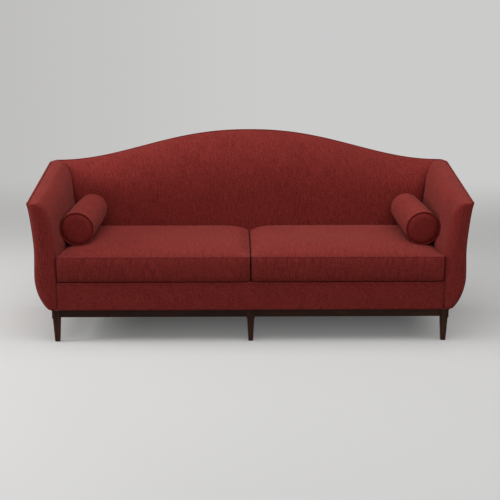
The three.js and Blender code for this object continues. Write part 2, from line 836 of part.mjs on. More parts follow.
function shiftedIn(geometry) {
  return geometry.clone().translate(-fit, 0, 0);
}
const armCutter = shiftedIn(armBody());
place('inside_back', cutBy(insideBackGeometry(), armCutter, mirrored(armCutter), backRoom(),
  backGroove), fabric);

function outsideBackGeometry() {
  const side = [
    ...armLowHeights,
    ...armRiseShares.map((part) => armMid + (shoulderHeight - armMid) * part),
  ].map((z) => [armOuterX(z, shoulderHeight), z]);
  const steps = 36;
  const top = Array.from({ length: steps - 1 }, (_, i) => {
    const x = armOuterTop - 2 * armOuterTop * (i + 1) / steps;
    return [x, topLine(x)];
  });
  const otherSide = [...side].reverse().map(([x, z]) => [-x, z]);
  return leanedBack(boardInXZ([...side, ...top, ...otherSide], -panelThickness, 0));
}
place('outside_back', cutBy(outsideBackGeometry(), backGroove), fabric);

// Loose seat cushions: crowned on top, drawn in along the sides, slightly full at the front

// Half-way round the square from the front inner corner, one side after another.
function cushionOutline() {
  const sideShares = [-1, -0.97, -0.9, -0.72, -0.36, 0, 0.36, 0.72, 0.9, 0.97];
  return [
    ...sideShares.map((t) => [t, -1]), ...sideShares.map((t) => [1, t]),
    ...sideShares.map((t) => [-t, 1]), ...sideShares.map((t) => [-1, -t]),
  ];
}

const cushionInnerX = cushionGap / 2;
const cushionRearY = seatDepth - fit;
const cushionHalfX = (borderHalf - cushionInnerX) / 2;
const cushionMiddleX = cushionInnerX + cushionHalfX;
const zipFlatShare = (zipLength / 2 + sliderLength) / cushionHalfX;

function cushionPoint(u, v, scaleShare) {
  const cornerPower = 24;
  const sidePower = 3;
  const y = cushionRearY * (v + 1) / 2;
  const outerX = armInnerX(armBellyHeight, y) - cushionSideGap;
  const halfX = (outerX - cushionInnerX) / 2;
  const corner = Math.abs(u * v) ** cornerPower;
  const alongRear = Math.min(Math.max((1 - Math.abs(u)) / (1 - zipFlatShare), 0), 1);
  const rearDraw = cushionDrawIn * (1 - (1 - alongRear) ** 2) * (v > 0 ? v ** cornerPower : 0);
  const sideDraw = cushionSideDraw * (1 - Math.abs(v) ** sidePower) * Math.abs(u) ** cornerPower;
  const x = cushionInnerX + halfX + u * halfX
    - Math.sign(u) * (corner * cushionCornerCut + sideDraw);
  const depth = y - rearDraw - Math.sign(v) * corner * cushionCornerCut;
  return [
    cushionMiddleX + (x - cushionMiddleX) * scaleShare,
    cushionRearY / 2 + (depth - cushionRearY / 2) * scaleShare,
  ];
}

function cushionGeometry() {
  const crownPower = 2.6;
  const outline = cushionOutline();
  const ring = (scaleShare, heightAt, bulge) => outline.map(([u, v]) => {
    const [x, y] = cushionPoint(u, v, scaleShare);
    const forward = bulge * (1 - v) / 2;
    return [x, y - forward, heightAt(u * scaleShare, v * scaleShare)];
  });
  const boxing = seatEdgeHeight - cushionBottom;
  const edge = 1 - cushionEdgeRoll / cushionHalfX;
  const bulgeShares = [0.45, 0.85, 1, 0.85, 0.45];
  const crown = (u, v) => seatEdgeHeight + cushionCrown
    * (1 - Math.abs(u) ** crownPower) * (1 - Math.abs(v) ** crownPower);
  const topShares = [0.96, 0.9, 0.8, 0.66, 0.48, 0.26];
  return loftedSolid([
    ring(1 / 2, () => cushionBottom, 0),
    ring(edge, () => cushionBottom, 0),
    ...bulgeShares.map((share, i) => {
      const rise = (i + 1 / 2) / bulgeShares.length;
      return ring(1, () => cushionBottom + boxing * rise, cushionFrontBulge * share);
    }),
    ring(1 - cushionEdgeRoll / cushionHalfX / 4, () => seatEdgeHeight, 0),
    ...topShares.map((share) => ring(share, crown, 0)),
  ]);
}

const cushion = cushionGeometry();
place('seat_cushion_right', cushion, fabric);
place('seat_cushion_left', mirrored(cushion), fabric);

// Zips along the rear of the cushions, each with a slider that runs along the tape

const zipFaceY = cushionRearY - cushionDrawIn;
const zipHeight = (cushionBottom + seatEdgeHeight) / 2;

function zipTapeGeometry() {
  const half = zipLength / 2;
  return boxBetween(
    [cushionMiddleX - half, zipFaceY + fit, zipHeight - zipWidth / 2],
    [cushionMiddleX + half, zipFaceY + fit + zipThickness, zipHeight + zipWidth / 2],
  );
}

// A slider body with a narrow pull tab that hangs from it, cut from one outline.
function sliderGeometry() {
  const half = sliderLength / 2;
  const tab = half / 2;
  const x = cushionMiddleX - zipLength / 2 + half;
  const outline = [
    [-half, half], [-half, -half / 2], [-tab, -half], [-tab, -sliderTabLength],
    [tab, -sliderTabLength], [tab, -half], [half, -half / 2], [half, half],
  ].map(([dx, dz]) => [x + dx, zipHeight + dz]);
  const near = zipFaceY + zipThickness + 2 * fit;
  return boardInXZ(outline, near, near + sliderThickness);
}

place('cushion_zip_right', zipTapeGeometry(), zipTape);
place('cushion_zip_left', mirrored(zipTapeGeometry()), zipTape);
place('zip_slider_right', sliderGeometry(), zipMetal);
place('zip_slider_left', mirrored(sliderGeometry()), zipMetal);

// Round bolsters: a slightly barrelled roll between two crowned caps, welted round both ends

function bolsterGeometry() {
  const weltSteps = 4;
  const half = bolsterLength / 2;
  const rim = half - bolsterCapCrown;
  const capShares = [0, 0.4, 0.75, 0.95];
  const capRadius = bolsterRadius - 2 * bolsterWeltRadius;
  const cap = capShares.map((share) => new THREE.Vector2(
    capRadius * share, -rim - bolsterCapCrown * (1 - share * share),
  ));
  const weltMiddle = new THREE.Vector2(bolsterRadius - bolsterWeltRadius, -rim);
  const welt = Array.from({ length: weltSteps }, (_, i) => {
    const angle = -Math.PI / 2 - Math.PI / 4 + 5 * Math.PI / 4 * i / (weltSteps - 1);
    return new THREE.Vector2(Math.cos(angle), Math.sin(angle))
      .multiplyScalar(bolsterWeltRadius).add(weltMiddle);
  });
  const rollShares = [0.97, 0.7, 0.25];
  const roll = rollShares.map((share) => new THREE.Vector2(
    bolsterRadius - bolsterWeltRadius / 2 - bolsterBarrel * share * share,
    -(rim - bolsterWeltRadius) * share,
  ));
  const nearHalf = [...cap, ...welt, ...roll];
  const farHalf = [...nearHalf].reverse().map((point) => new THREE.Vector2(point.x, -point.y));
  return new THREE.LatheGeometry([...nearHalf, ...farHalf], 22);
}

// A bolster lies on its cushion along the arm, its rear end a little higher and further in.
const bolsterFrontX = armInnerX(bolsterLevel(), bolsterFromFront) - bolsterRadius - bolsterSideGap;
const bolsterRear = bolsterFromFront + bolsterLength;
const bolsterRearX = armInnerX(bolsterLevel(), bolsterRear) - bolsterRadius - bolsterSideGap;

// Height of the bolster's middle line at its front end.
function bolsterLevel() {
  return seatEdgeHeight + cushionCrown / 2 + bolsterRadius + fit;
}

for (const [side, sign] of sides) {
  const group = new THREE.Group();
  const run = bolsterLength;
  const shiftX = bolsterRearX - bolsterFrontX;
  group.position.set(
    sign * (bolsterFrontX + bolsterRearX) / 2,
    bolsterFromFront + run / 2,
    bolsterLevel() + bolsterRise / 2,
  );
  group.rotation.set(Math.atan2(bolsterRise, run), 0, -sign * Math.atan2(shiftX, run));
  sofa.add(group);
  place(`bolster_${side}`, bolsterGeometry(), fabric, group);
}

// The sofa stands centred over its origin.
const extent = new THREE.Box3().setFromObject(sofa);
sofa.position.set(0, -(extent.min.y + extent.max.y) / 2, 0);

export default sofa;
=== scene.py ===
"""A camelback sofa in dark red chenille, dressed around its CAD model.

Lengths are in metres. +X points to the right of someone who faces the sofa, +Y to its back and
+Z up. A depth is counted from the plane of the seat's front, which lies at seat_front.
"""

import math

import bmesh
import bpy
import numpy as np
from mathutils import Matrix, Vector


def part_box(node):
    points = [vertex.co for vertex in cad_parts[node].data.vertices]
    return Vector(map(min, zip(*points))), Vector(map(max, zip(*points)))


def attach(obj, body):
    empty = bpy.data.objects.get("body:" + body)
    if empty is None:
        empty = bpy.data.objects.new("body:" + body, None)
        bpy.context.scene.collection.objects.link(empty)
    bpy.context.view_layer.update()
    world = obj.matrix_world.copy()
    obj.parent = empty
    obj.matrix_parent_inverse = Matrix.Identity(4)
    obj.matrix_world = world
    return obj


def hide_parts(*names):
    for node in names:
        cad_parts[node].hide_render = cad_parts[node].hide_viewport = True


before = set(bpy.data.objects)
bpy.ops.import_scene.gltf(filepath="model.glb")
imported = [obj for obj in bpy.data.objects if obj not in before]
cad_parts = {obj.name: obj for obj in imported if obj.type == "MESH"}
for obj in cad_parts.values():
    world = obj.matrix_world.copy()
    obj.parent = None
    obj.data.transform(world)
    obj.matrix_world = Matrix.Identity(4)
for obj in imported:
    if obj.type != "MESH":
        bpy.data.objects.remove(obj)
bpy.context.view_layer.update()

# Camera
# A long studio lens in front of the sofa, a little left of its middle line, 1.7 m above the
# floor and tipped down, as the perspective of the arms and the seat shows.
border_crown = 0.003
seat_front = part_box("front_border")[0].y + border_crown
camera_place = np.array([-0.072, seat_front - 5.30, 1.702])
camera_pitch = math.radians(12.98)
camera_yaw = math.radians(0.735)
camera = bpy.data.objects.new("camera", bpy.data.cameras.new("camera"))
camera.data.sensor_width = 36
camera.data.lens = 79.63
camera.location = camera_place
camera.rotation_euler = (math.pi / 2 - camera_pitch, 0, -camera_yaw)
bpy.context.scene.collection.objects.link(camera)
bpy.context.scene.camera = camera
bpy.context.scene.view_settings.view_transform = "Standard"


# Studio floor and light
# A pale seamless floor takes the backdrop's tone further off. Two wide soft lights hang over and
# before the sofa, the key stands at the left, and a weak pair fills in from right and front.
def node(tree, kind, inputs=(), **settings):
    """Adds a shader node with these settings. An input is a value, or a socket to link from."""
    made = tree.nodes.new("ShaderNode" + kind)
    for name, value in settings.items():
        setattr(made, name, value)
    for key, value in dict(inputs).items():
        if isinstance(value, bpy.types.NodeSocket):
            tree.links.new(value, made.inputs[key])
        else:
            made.inputs[key].default_value = value
    return made


def new_material(name):
    """An empty material and its tree."""
    material = bpy.data.materials.new(name)
    material.use_nodes = True
    material.node_tree.nodes.clear()
    return material, material.node_tree


def close_material(tree, **inputs):
    """Ends a tree in a Principled shader. An input's name has _ for each space."""
    shader = node(tree, "BsdfPrincipled", {k.replace("_", " "): v for k, v in inputs.items()})
    node(tree, "OutputMaterial", {"Surface": shader.outputs["BSDF"]})


def calculated(tree, operation, *values):
    """One value from several, each taken in turn by a Math node's operation. A lone value is
    for an operation on one, such as a sine."""
    total = values[0]
    for value in values[1:] or [0.0]:
        total = node(tree, "Math", {0: total, 1: value}, operation=operation).outputs[0]
    return total


def scaled(tree, value, low, high, to_low=0.0, to_high=1.0, kind="LINEAR"):
    """A value mapped from one range to another, and held within it."""
    return node(tree, "MapRange", {
        "Value": value, "From Min": low, "From Max": high, "To Min": to_low,
        "To Max": to_high}, interpolation_type=kind).outputs["Result"]


def mixed(tree, share, first, last):
    """The colour between two, at a share of the way. Each is three numbers or a socket."""
    ends = [end if isinstance(end, bpy.types.NodeSocket) else (*end, 1) for end in (first, last)]
    made = node(tree, "Mix", {"Factor": share, "A": ends[0], "B": ends[1]}, data_type="RGBA")
    return [socket for socket in made.outputs if socket.type == "RGBA"][0]


def toned(tree, share, first, last):
    """The colour between two on a colour ramp, each given as three numbers."""
    ramp = node(tree, "ValToRGB", {"Fac": share})
    for element, colour in zip(ramp.color_ramp.elements, (first, last)):
        element.color = (*colour, 1)
    return ramp.outputs["Color"]


def looked_at(tree):
    """1 where a surface is seen, mirrored or seen through, and 0 where it only lights."""
    seen = node(tree, "LightPath")
    return calculated(tree, "MAXIMUM", *[
        seen.outputs[f"Is {ray} Ray"] for ray in ("Camera", "Glossy", "Transmission")])


def left_share(tree, bearing):
    """0 at the left edge of the picture to 1 from its middle on, by the bearing x / y."""
    return scaled(tree, bearing, -0.24, 0.02)


def backdrop_tone(tree, bearing, *lighter):
    """The colour of the far backdrop, with painted shade: darker at the left of the picture, and
    even elsewhere and where one of the lighter shares is 1."""
    turned = calculated(tree, "ABSOLUTE", bearing)
    aside = scaled(tree, turned, 0.30, 1.5, kind="SMOOTHSTEP")
    share = calculated(tree, "MAXIMUM", left_share(tree, bearing), aside, *lighter)
    return toned(tree, share, (0.512, 0.508, 0.496), (0.600, 0.597, 0.594))


floor_reach = 600
floor_material, tree = new_material("studio_floor")
place = node(tree, "TexCoord").outputs["Object"]
spot = node(tree, "SeparateXYZ", {"Vector": place})
nearest = calculated(tree, "MAXIMUM", calculated(tree, "ADD", spot.outputs["Y"], 6.0), 3.0)
bearing = calculated(tree, "DIVIDE", spot.outputs["X"], nearest)
behind = scaled(tree, spot.outputs["Y"], -0.5, -3.0, kind="SMOOTHSTEP")
far_tone = backdrop_tone(tree, bearing, behind)
# Painted light: seen from the camera, the floor is painted lighter towards the left of the
# picture, where the key light falls.
floor_tone = toned(tree, left_share(tree, bearing), (0.660, 0.654, 0.644), (0.600, 0.597, 0.590))
away = scaled(tree, spot.outputs["Y"], 0.9, 4.8, kind="SMOOTHSTEP")
middle_way = node(tree, "VectorMath", {0: place}, operation="LENGTH")
around = scaled(tree, middle_way.outputs["Value"], 3.2, 6.5, kind="SMOOTHSTEP")
# Painted light: near the sofa a share of the floor glows in the backdrop's tone, about a tenth
# under and behind it and a third before it, which lifts the sofa's shadow.
under = scaled(tree, spot.outputs["Y"], -0.6, 0.2, 0.34, 0.09)
looked = looked_at(tree)
share = calculated(tree, "MULTIPLY", looked, calculated(tree, "MAXIMUM", away, around, under))
lit = node(tree, "BsdfPrincipled", {
    "Base Color": mixed(tree, looked, (0.30, 0.298, 0.295), floor_tone), "Roughness": 0.9,
    "Specular IOR Level": 0.1})
glow = node(tree, "Emission", {"Color": far_tone, "Strength": 1.0})
both = node(tree, "MixShader", {0: share, 1: lit.outputs[0], 2: glow.outputs[0]})
node(tree, "OutputMaterial", {"Surface": both.outputs[0]})
floor_mesh = bpy.data.meshes.new("studio_floor")
floor_mesh.from_pydata(
    [(-floor_reach, -floor_reach, 0), (floor_reach, -floor_reach, 0),
     (floor_reach, floor_reach, 0), (-floor_reach, floor_reach, 0)], [], [(0, 1, 2, 3)])
floor_mesh.materials.append(floor_material)
floor = bpy.data.objects.new("studio_floor", floor_mesh)
bpy.context.scene.collection.objects.link(floor)

world = bpy.data.worlds.new("studio")
bpy.context.scene.world = world
world.use_nodes = True
tree = world.node_tree
tree.nodes.clear()
way = node(tree, "SeparateXYZ", {"Vector": node(tree, "TexCoord").outputs["Generated"]})
nearest = calculated(tree, "MAXIMUM", way.outputs["Y"], 0.001)
bearing = calculated(tree, "DIVIDE", way.outputs["X"], nearest)
behind = scaled(tree, way.outputs["Y"], 0.0, -0.3)
room = node(tree, "Background", {"Color": (1, 0.99, 0.98, 1), "Strength": 0.07})
backdrop = node(tree, "Background", {
    "Color": backdrop_tone(tree, bearing, behind), "Strength": 1})
chosen = node(tree, "MixShader", {
    0: looked_at(tree), 1: room.outputs[0], 2: backdrop.outputs[0]})
node(tree, "OutputWorld", {"Surface": chosen.outputs[0]})


def soft_light(name, place, target, size, watts):
    """A rectangular studio light of that size at a place, turned towards a target."""
    lamp = bpy.data.objects.new(name, bpy.data.lights.new(name, "AREA"))
    lamp.data.shape = "RECTANGLE"
    lamp.data.size, lamp.data.size_y = size
    lamp.data.energy = watts
    lamp.location = place
    way = np.array(target, float) - np.array(place, float)
    tilt = math.atan2(math.hypot(way[0], way[1]), -way[2])
    lamp.rotation_euler = (tilt, 0, math.atan2(way[1], way[0]) - math.pi / 2)
    bpy.context.scene.collection.objects.link(lamp)


soft_light("overhead_light", (0, -0.6, 4.2), (0, 0, 0.4), (6.5, 4.5), 165)
soft_light("boom_light", (0, -2.6, 4.0), (0, 0, 0.4), (6.0, 2.4), 50)
soft_light("left_light", (-4.6, -0.65, 2.1), (0, 0, 0.4), (1.6, 1.6), 122)
soft_light("right_light", (3.6, -1.2, 3.0), (0, 0, 0.4), (1.6, 1.6), 25)
soft_light("front_light", (0, -5.0, 2.6), (0, 0, 0.4), (6.0, 1.6), 34)


# Legs
# Solid hardwood, stained espresso: a square block stands between the base rails, and a square
# taper runs down from it to the floor. The arrises are eased by hand.
def surface(name, points, closed_across=False, scale_uv=(1.0, 1.0), seam=None):
    """A smooth quad mesh from a grid of points, rows by columns. Its UV map, named cloth, holds
    the length run along each row and up each column, so a pattern keeps its true size. Its
    painted-shade attribute darkens the cloth with painted shade where it is above 0, and lightens
    it with painted light where it is below."""
    if closed_across:
        points = np.concatenate([points, points[:, :1]], axis=1)
        if seam is not None:
            seam = np.concatenate([seam, seam[:, :1]], axis=1)
    rows, columns = points.shape[:2]
    across = np.linalg.norm(np.diff(points, axis=1, prepend=points[:, :1]), axis=2).cumsum(1)
    upward = np.linalg.norm(np.diff(points, axis=0, prepend=points[:1]), axis=2).cumsum(0)
    index = np.arange(rows * columns).reshape(rows, columns)
    corners = np.stack([index[:-1, :-1], index[:-1, 1:], index[1:, 1:], index[1:, :-1]], -1)
    corners = corners.reshape(-1, 4)
    mesh = bpy.data.meshes.new(name)
    mesh.vertices.add(rows * columns)
    mesh.vertices.foreach_set("co", points.astype(np.float32).ravel())
    mesh.loops.add(corners.size)
    mesh.loops.foreach_set("vertex_index", corners.astype(np.int32).ravel())
    mesh.polygons.add(len(corners))
    mesh.polygons.foreach_set("loop_start", np.arange(0, corners.size, 4, dtype=np.int32))
    mesh.polygons.foreach_set("use_smooth", np.ones(len(corners), bool))
    layout = np.stack([across, upward], -1).reshape(-1, 2)[corners.ravel()] * scale_uv
    mesh.uv_layers.new(name="cloth").data.foreach_set("uv", layout.astype(np.float32).ravel())
    if seam is not None:
        layer = mesh.attributes.new("seam", "FLOAT", "POINT")
        layer.data.foreach_set("value", seam.astype(np.float32).ravel())
    mesh.update(calc_edges=True)
    made = bpy.data.objects.new(name, mesh)
    bpy.context.scene.collection.objects.link(made)
    return made


def welded(name, *parts, gap=2e-5):
    """Joins surfaces into one smooth mesh, and merges the points that meet."""
    whole = bmesh.new()
    for part in parts:
        whole.from_mesh(part.data)
    bmesh.ops.remove_doubles(whole, verts=whole.verts, dist=gap)
    bmesh.ops.dissolve_degenerate(whole, edges=whole.edges, dist=gap)
    mesh = bpy.data.meshes.new(name)
    whole.to_mesh(mesh)
    whole.free()
    mesh.polygons.foreach_set("use_smooth", np.ones(len(mesh.polygons), bool))
    for part in parts:
        bpy.data.objects.remove(part)
    made = bpy.data.objects.new(name, mesh)
    bpy.context.scene.collection.objects.link(made)
    return made


def turn_outward(piece):
    """Points every face of a closed piece outwards."""
    whole = bmesh.new()
    whole.from_mesh(piece.data)
    bmesh.ops.recalc_face_normals(whole, faces=whole.faces)
    whole.to_mesh(piece.data)
    whole.free()


def squared_ring(half_wide, half_deep, arris, steps=3):
    """A rectangle with rounded corners, as offsets across and along, anticlockwise. Each corner
    is a quarter circle of the arris radius, in steps."""
    angles = np.linspace(0, math.pi / 2, steps + 1)
    turns = (angles[None] + math.pi / 2 * np.arange(4)[:, None]).ravel()
    sign_x = np.repeat([1, -1, -1, 1], steps + 1)
    sign_y = np.repeat([1, 1, -1, -1], steps + 1)
    return np.stack([sign_x * (half_wide - arris) + arris * np.cos(turns),
                     sign_y * (half_deep - arris) + arris * np.sin(turns)], -1)


def bar(name, axis, levels, arris):
    """A bar along one axis, from levels of (place along the axis, middle, half sizes). Its
    section is a rectangle with eased corners, and its ends are eased by the same radius."""
    rings = []
    ordered = [0] + list(range(len(levels))) + [len(levels) - 1]
    ends = {0: arris, len(ordered) - 1: arris}
    across, along = [(1, 2), (2, 0), (0, 1)][axis]
    first, last = levels[0][0], levels[-1][0]
    direction = 1 if last > first else -1
    for step, which in enumerate(ordered):
        place, middle, half = levels[which]
        inset = ends.get(step, 0)
        if step == 1:
            place += direction * arris
        if step == len(ordered) - 2:
            place -= direction * arris
        ring = squared_ring(half[0] - inset, half[1] - inset, arris)
        points = np.zeros((len(ring), 3))
        points[:, axis] = place
        points[:, across] = middle[0] + ring[:, 0]
        points[:, along] = middle[1] + ring[:, 1]
        rings.append(points)
    rings = [np.broadcast_to(rings[0].mean(0), rings[0].shape)] + rings
    rings.append(np.broadcast_to(rings[-1].mean(0), rings[-1].shape))
    made = welded(name, surface(name + "_skin", np.array(rings), closed_across=True))
    turn_outward(made)
    flat = made.modifiers.new("flat faces", "WEIGHTED_NORMAL")
    flat.keep_sharp = False
    return made


def new_group(name, inputs, outputs):
    """An empty shader node group with named sockets, and its two end nodes."""
    group = bpy.data.node_groups.new(name, "ShaderNodeTree")
    for side, sockets in (("INPUT", inputs), ("OUTPUT", outputs)):
        for socket, kind in sockets:
            group.interface.new_socket(name=socket, in_out=side, socket_type="NodeSocket" + kind)
    start = group.nodes.new("NodeGroupInput")
    end = group.nodes.new("NodeGroupOutput")
    return group, start, end


grain_group, start, end = new_group(
    "wood_grain", [("Place", "Vector"), ("Dark", "Color"), ("Light", "Color")],
    [("Color", "Color"), ("Roughness", "Float"), ("Height", "Float")])
pores = node(grain_group, "TexNoise", {
    "Vector": start.outputs["Place"], "Scale": 90.0, "Detail": 3.0,
    "Distortion": 0.4}).outputs["Fac"]
bands = node(grain_group, "TexNoise", {
    "Vector": start.outputs["Place"], "Scale": 14.0, "Detail": 2.0,
    "Distortion": 1.2}).outputs["Fac"]
both = calculated(grain_group, "MULTIPLY", pores, bands)
shade = scaled(grain_group, both, 0.12, 0.42)
for value, socket in (
        (mixed(grain_group, shade, start.outputs["Dark"], start.outputs["Light"]), "Color"),
        (scaled(grain_group, pores, 0, 1, 0.48, 0.62), "Roughness"), (pores, "Height")):
    grain_group.links.new(value, end.inputs[socket])


def bumped(tree, height, strength, distance):
    """The normals of a relief of this height, in metres at full strength."""
    return node(tree, "Bump", {
        "Height": height, "Strength": strength, "Distance": distance}).outputs["Normal"]


def wood(name, dark, light, along, relief, coat):
    """A wood whose grain runs along one axis: the noise is drawn out ten times that way."""
    material, tree = new_material(name)
    stretch = [1.0, 1.0, 1.0]
    stretch[along] = 0.1
    place = node(tree, "Mapping", {
        "Vector": node(tree, "TexCoord").outputs["Object"], "Scale": stretch})
    grain = node(tree, "Group", node_tree=grain_group)
    for key, value in (("Dark", dark), ("Light", light)):
        grain.inputs[key].default_value = (*value, 1)
    tree.links.new(place.outputs["Vector"], grain.inputs["Place"])
    close_material(
        tree, Base_Color=grain.outputs["Color"], Roughness=grain.outputs["Roughness"],
        Normal=bumped(tree, grain.outputs["Height"], relief, 0.0006),
        Specular_IOR_Level=0.12, Coat_Weight=coat, Coat_Roughness=0.5)
    return material


espresso_dark, espresso_light = (0.019, 0.0062, 0.0034), (0.062, 0.0240, 0.0125)
leg_wood = wood("espresso_leg", espresso_dark, espresso_light, 2, 0.25, 0.03)
leg_arris, leg_foot, block_height, into_cover = 0.0018, 0.0012, 0.042, 0.0018
leg_foot_half, leg_top_half, leg_block_half = 0.012, 0.01825, 0.0215
leg_spots = [f"{row}_{column}" for row in ("front", "back")
             for column in ("left", "centre", "right")]
for leg_spot in leg_spots:
    name = "leg_" + leg_spot
    low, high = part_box(name)
    middle = ((low.x + high.x) / 2, (low.y + high.y) / 2)
    step = high.z - block_height
    leg = bar("turned_" + name, 2, [
        (leg_foot, middle, (leg_foot_half,) * 2),
        (step, middle, (leg_top_half,) * 2),
        (step + leg_arris / 3, middle, (leg_block_half - leg_arris / 2,) * 2),
        (step + leg_arris, middle, (leg_block_half,) * 2),
        (high.z + into_cover, middle, (leg_block_half,) * 2),
    ], leg_arris)
    leg.data.materials.append(leg_wood)
    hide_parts(name)
    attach(leg, "sofa_body")

# Base rails
# Strips of the same stained wood, let in flush between the leg blocks under the upholstery.
rail_drop = 0.0055
rail_wood = [wood("espresso_rail_" + way, espresso_dark, espresso_light, axis, 0.25, 0.03)
             for axis, way in enumerate(("across", "along"))]
for name in ("front_left", "front_right", "back_left", "back_right", "left", "right"):
    low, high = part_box("base_rail_" + name)
    low.z, high.z = low.z - rail_drop, high.z + into_cover
    axis = 0 if "_" in name else 1
    across, along = [(1, 2), (2, 0)][axis]
    middle = ((low[across] + high[across]) / 2, (low[along] + high[along]) / 2)
    half = ((high[across] - low[across]) / 2, (high[along] - low[along]) / 2)
    rail = bar("eased_rail_" + name, axis, [
        (end, middle, half) for end in (low[axis], high[axis])], leg_arris)
    rail.data.materials.append(rail_wood[axis])
    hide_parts("base_rail_" + name)
    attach(rail, "sofa_body")


# Floor glides
# A moulded nylon button is nailed under each foot. The CAD's own shape is kept.
def reshade(name, material):
    """Gives a CAD node this material in place of its own."""
    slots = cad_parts[name].data.materials
    slots.clear()
    slots.append(material)


def fine_noise(tree, scale, detail):
    """Noise on the object's own coordinates, with about this many spots a metre."""
    return node(tree, "TexNoise", {
        "Vector": node(tree, "TexCoord").outputs["Object"], "Scale": scale,
        "Detail": detail}).outputs["Fac"]


nylon, tree = new_material("glide_nylon")
mould = fine_noise(tree, 900.0, 2.0)
close_material(
    tree, Base_Color=toned(tree, mould, (0.030, 0.026, 0.023), (0.055, 0.048, 0.042)),
    Roughness=0.55, Normal=bumped(tree, mould, 0.2, 0.0002))
for leg_spot in leg_spots:
    reshade("glide_" + leg_spot, nylon)

# Seat, back and arm frames
# Planed, kiln-dried hardwood, glued and dowelled, that the covers hide. The front seat rail is
# stained like the base, because its lower edge shows above it.
frame_dark, frame_light = (0.30, 0.17, 0.085), (0.52, 0.35, 0.20)
timber_axes = {
    "seat_rail_front": 0, "seat_rail_back": 0, "seat_rail_left": 1, "seat_rail_right": 1,
    "seat_stretcher": 1, "back_post_left": 2, "back_post_right": 2, "back_post_centre": 2,
    "back_top_rail": 0, "back_lower_rail": 0, "arm_post_left": 2, "arm_post_right": 2,
    "arm_top_rail_left": 1, "arm_top_rail_right": 1,
}
timber = [wood("frame_timber_" + "xyz"[axis], frame_dark, frame_light, axis, 0.4, 0.0)
          for axis in range(3)]
for name, axis in timber_axes.items():
    reshade(name, timber[axis])
reshade("seat_rail_front", rail_wood[0])

# Seat springs
# Zigzag springs of bright drawn wire run from the front rail to the rear rail.
spring_wire, tree = new_material("spring_wire")
drawn = fine_noise(tree, 260.0, 4.0)
close_material(
    tree, Base_Color=toned(tree, drawn, (0.30, 0.29, 0.28), (0.55, 0.54, 0.52)), Metallic=1.0,
    Roughness=scaled(tree, drawn, 0, 1, 0.25, 0.5))
for side in ("left", "right"):
    for count in range(1, 5):
        reshade(f"seat_spring_{side}_{count}", spring_wire)


# Seat deck
# A thin felted pad over the springs, covered with plain decking cloth. Its front strip, which
# can show between the cushions and the border, is of the cover's own chenille.
def carried(name, rings, seam=None):
    """A closed skin over rings of points carried along a path. Each end is closed on its own
    middle. Its UV map runs round the ring and along the path."""
    ends = [np.broadcast_to(rings[i].mean(0), rings[i].shape) for i in (0, -1)]
    rings = np.concatenate([ends[:1], rings, ends[1:]])
    if seam is not None:
        seam = np.concatenate([seam[:1], seam, seam[-1:]])
    made = welded(name, surface(name + "_skin", rings, closed_across=True, seam=seam))
    turn_outward(made)
    return made


def eased_section(low, high, ease, steps=5, sides=10):
    """A rectangle in two axes with rounded corners, its long sides cut into short lengths, as
    points that run anticlockwise from its highest corner in both."""
    half = (np.array(high, float) - np.array(low, float)) / 2
    ring = squared_ring(half[0], half[1], ease, steps)
    after = np.roll(ring, -1, axis=0)
    share = np.linspace(0, 1, sides, endpoint=False)[None, :, None]
    gaps = np.linalg.norm(after - ring, axis=1) > 3 * ease
    points = np.where(gaps[:, None, None], ring[:, None] + (after - ring)[:, None] * share, np.nan)
    points[~gaps, 0] = ring[~gaps]
    points = points.reshape(-1, 2)
    return points[~np.isnan(points[:, 0])] + (np.array(low) + np.array(high)) / 2


def unevenness(a, b, seed):
    """Smooth hand-made unevenness between -1 and 1: a mean of six slow waves in fixed random
    directions, over two lengths in metres."""
    spread = np.random.default_rng(seed)
    total = 0
    for _ in range(6):
        length, turn, phase = spread.uniform(0.16, 0.5), *spread.uniform(0, 2 * math.pi, 2)
        total = total + np.sin(
            2 * math.pi * (a * math.cos(turn) + b * math.sin(turn)) / length + phase)
    return total / 6


chenille_group, start, end = new_group(
    "chenille", [("Place", "Vector"), ("Shade", "Float"), ("Dark", "Color"), ("Light", "Color")],
    [("Color", "Color"), ("Roughness", "Float"), ("Height", "Float")])


def cloth_noise(tree, place, width, length, detail=2.0, twist=0.0):
    """Noise whose spots are this wide and long, in metres of the cloth's own UV map."""
    sized = node(tree, "Mapping", {"Vector": place, "Scale": (1 / width, 1 / length, 1)})
    return node(tree, "TexNoise", {
        "Vector": sized.outputs["Vector"], "Scale": 1.0, "Detail": detail, "Distortion": twist,
    }).outputs["Fac"]


place = start.outputs["Place"]
slubs = cloth_noise(chenille_group, place, 0.0036, 0.0066, 2.0, 0.3)
yarns = cloth_noise(chenille_group, place, 0.0034, 0.070, 2.0)
tufts = cloth_noise(chenille_group, place, 0.0013, 0.0022, 3.0)
mottle = cloth_noise(chenille_group, place, 0.014, 0.024, 3.0)
nap = cloth_noise(chenille_group, place, 0.16, 0.22, 2.0)
ribs = node(chenille_group, "TexWave", {
    "Vector": node(chenille_group, "Mapping", {
        "Vector": place, "Scale": (1 / 0.0026, 1, 1)}).outputs["Vector"],
    "Scale": math.pi / 10, "Distortion": 0.0}, bands_direction="X").outputs["Fac"]
weave = calculated(chenille_group, "ADD", *[
    scaled(chenille_group, noise, low, high, -most, most)
    for noise, low, high, most in (
        (slubs, 0.3, 0.7, 0.92), (yarns, 0.3, 0.7, 0.50), (tufts, 0.3, 0.7, 0.25),
        (mottle, 0.3, 0.7, 0.22), (nap, 0.3, 0.7, 0.10), (ribs, 0.0, 1.0, 0.08))])
shaded = calculated(chenille_group, "ADD", weave, start.outputs["Shade"])
relief = calculated(chenille_group, "ADD", *[
    scaled(chenille_group, noise, low, high, 0.0, most)
    for noise, low, high, most in (
        (slubs, 0.2, 0.8, 0.55), (tufts, 0.2, 0.8, 0.3), (ribs, 0.0, 1.0, 0.15))])
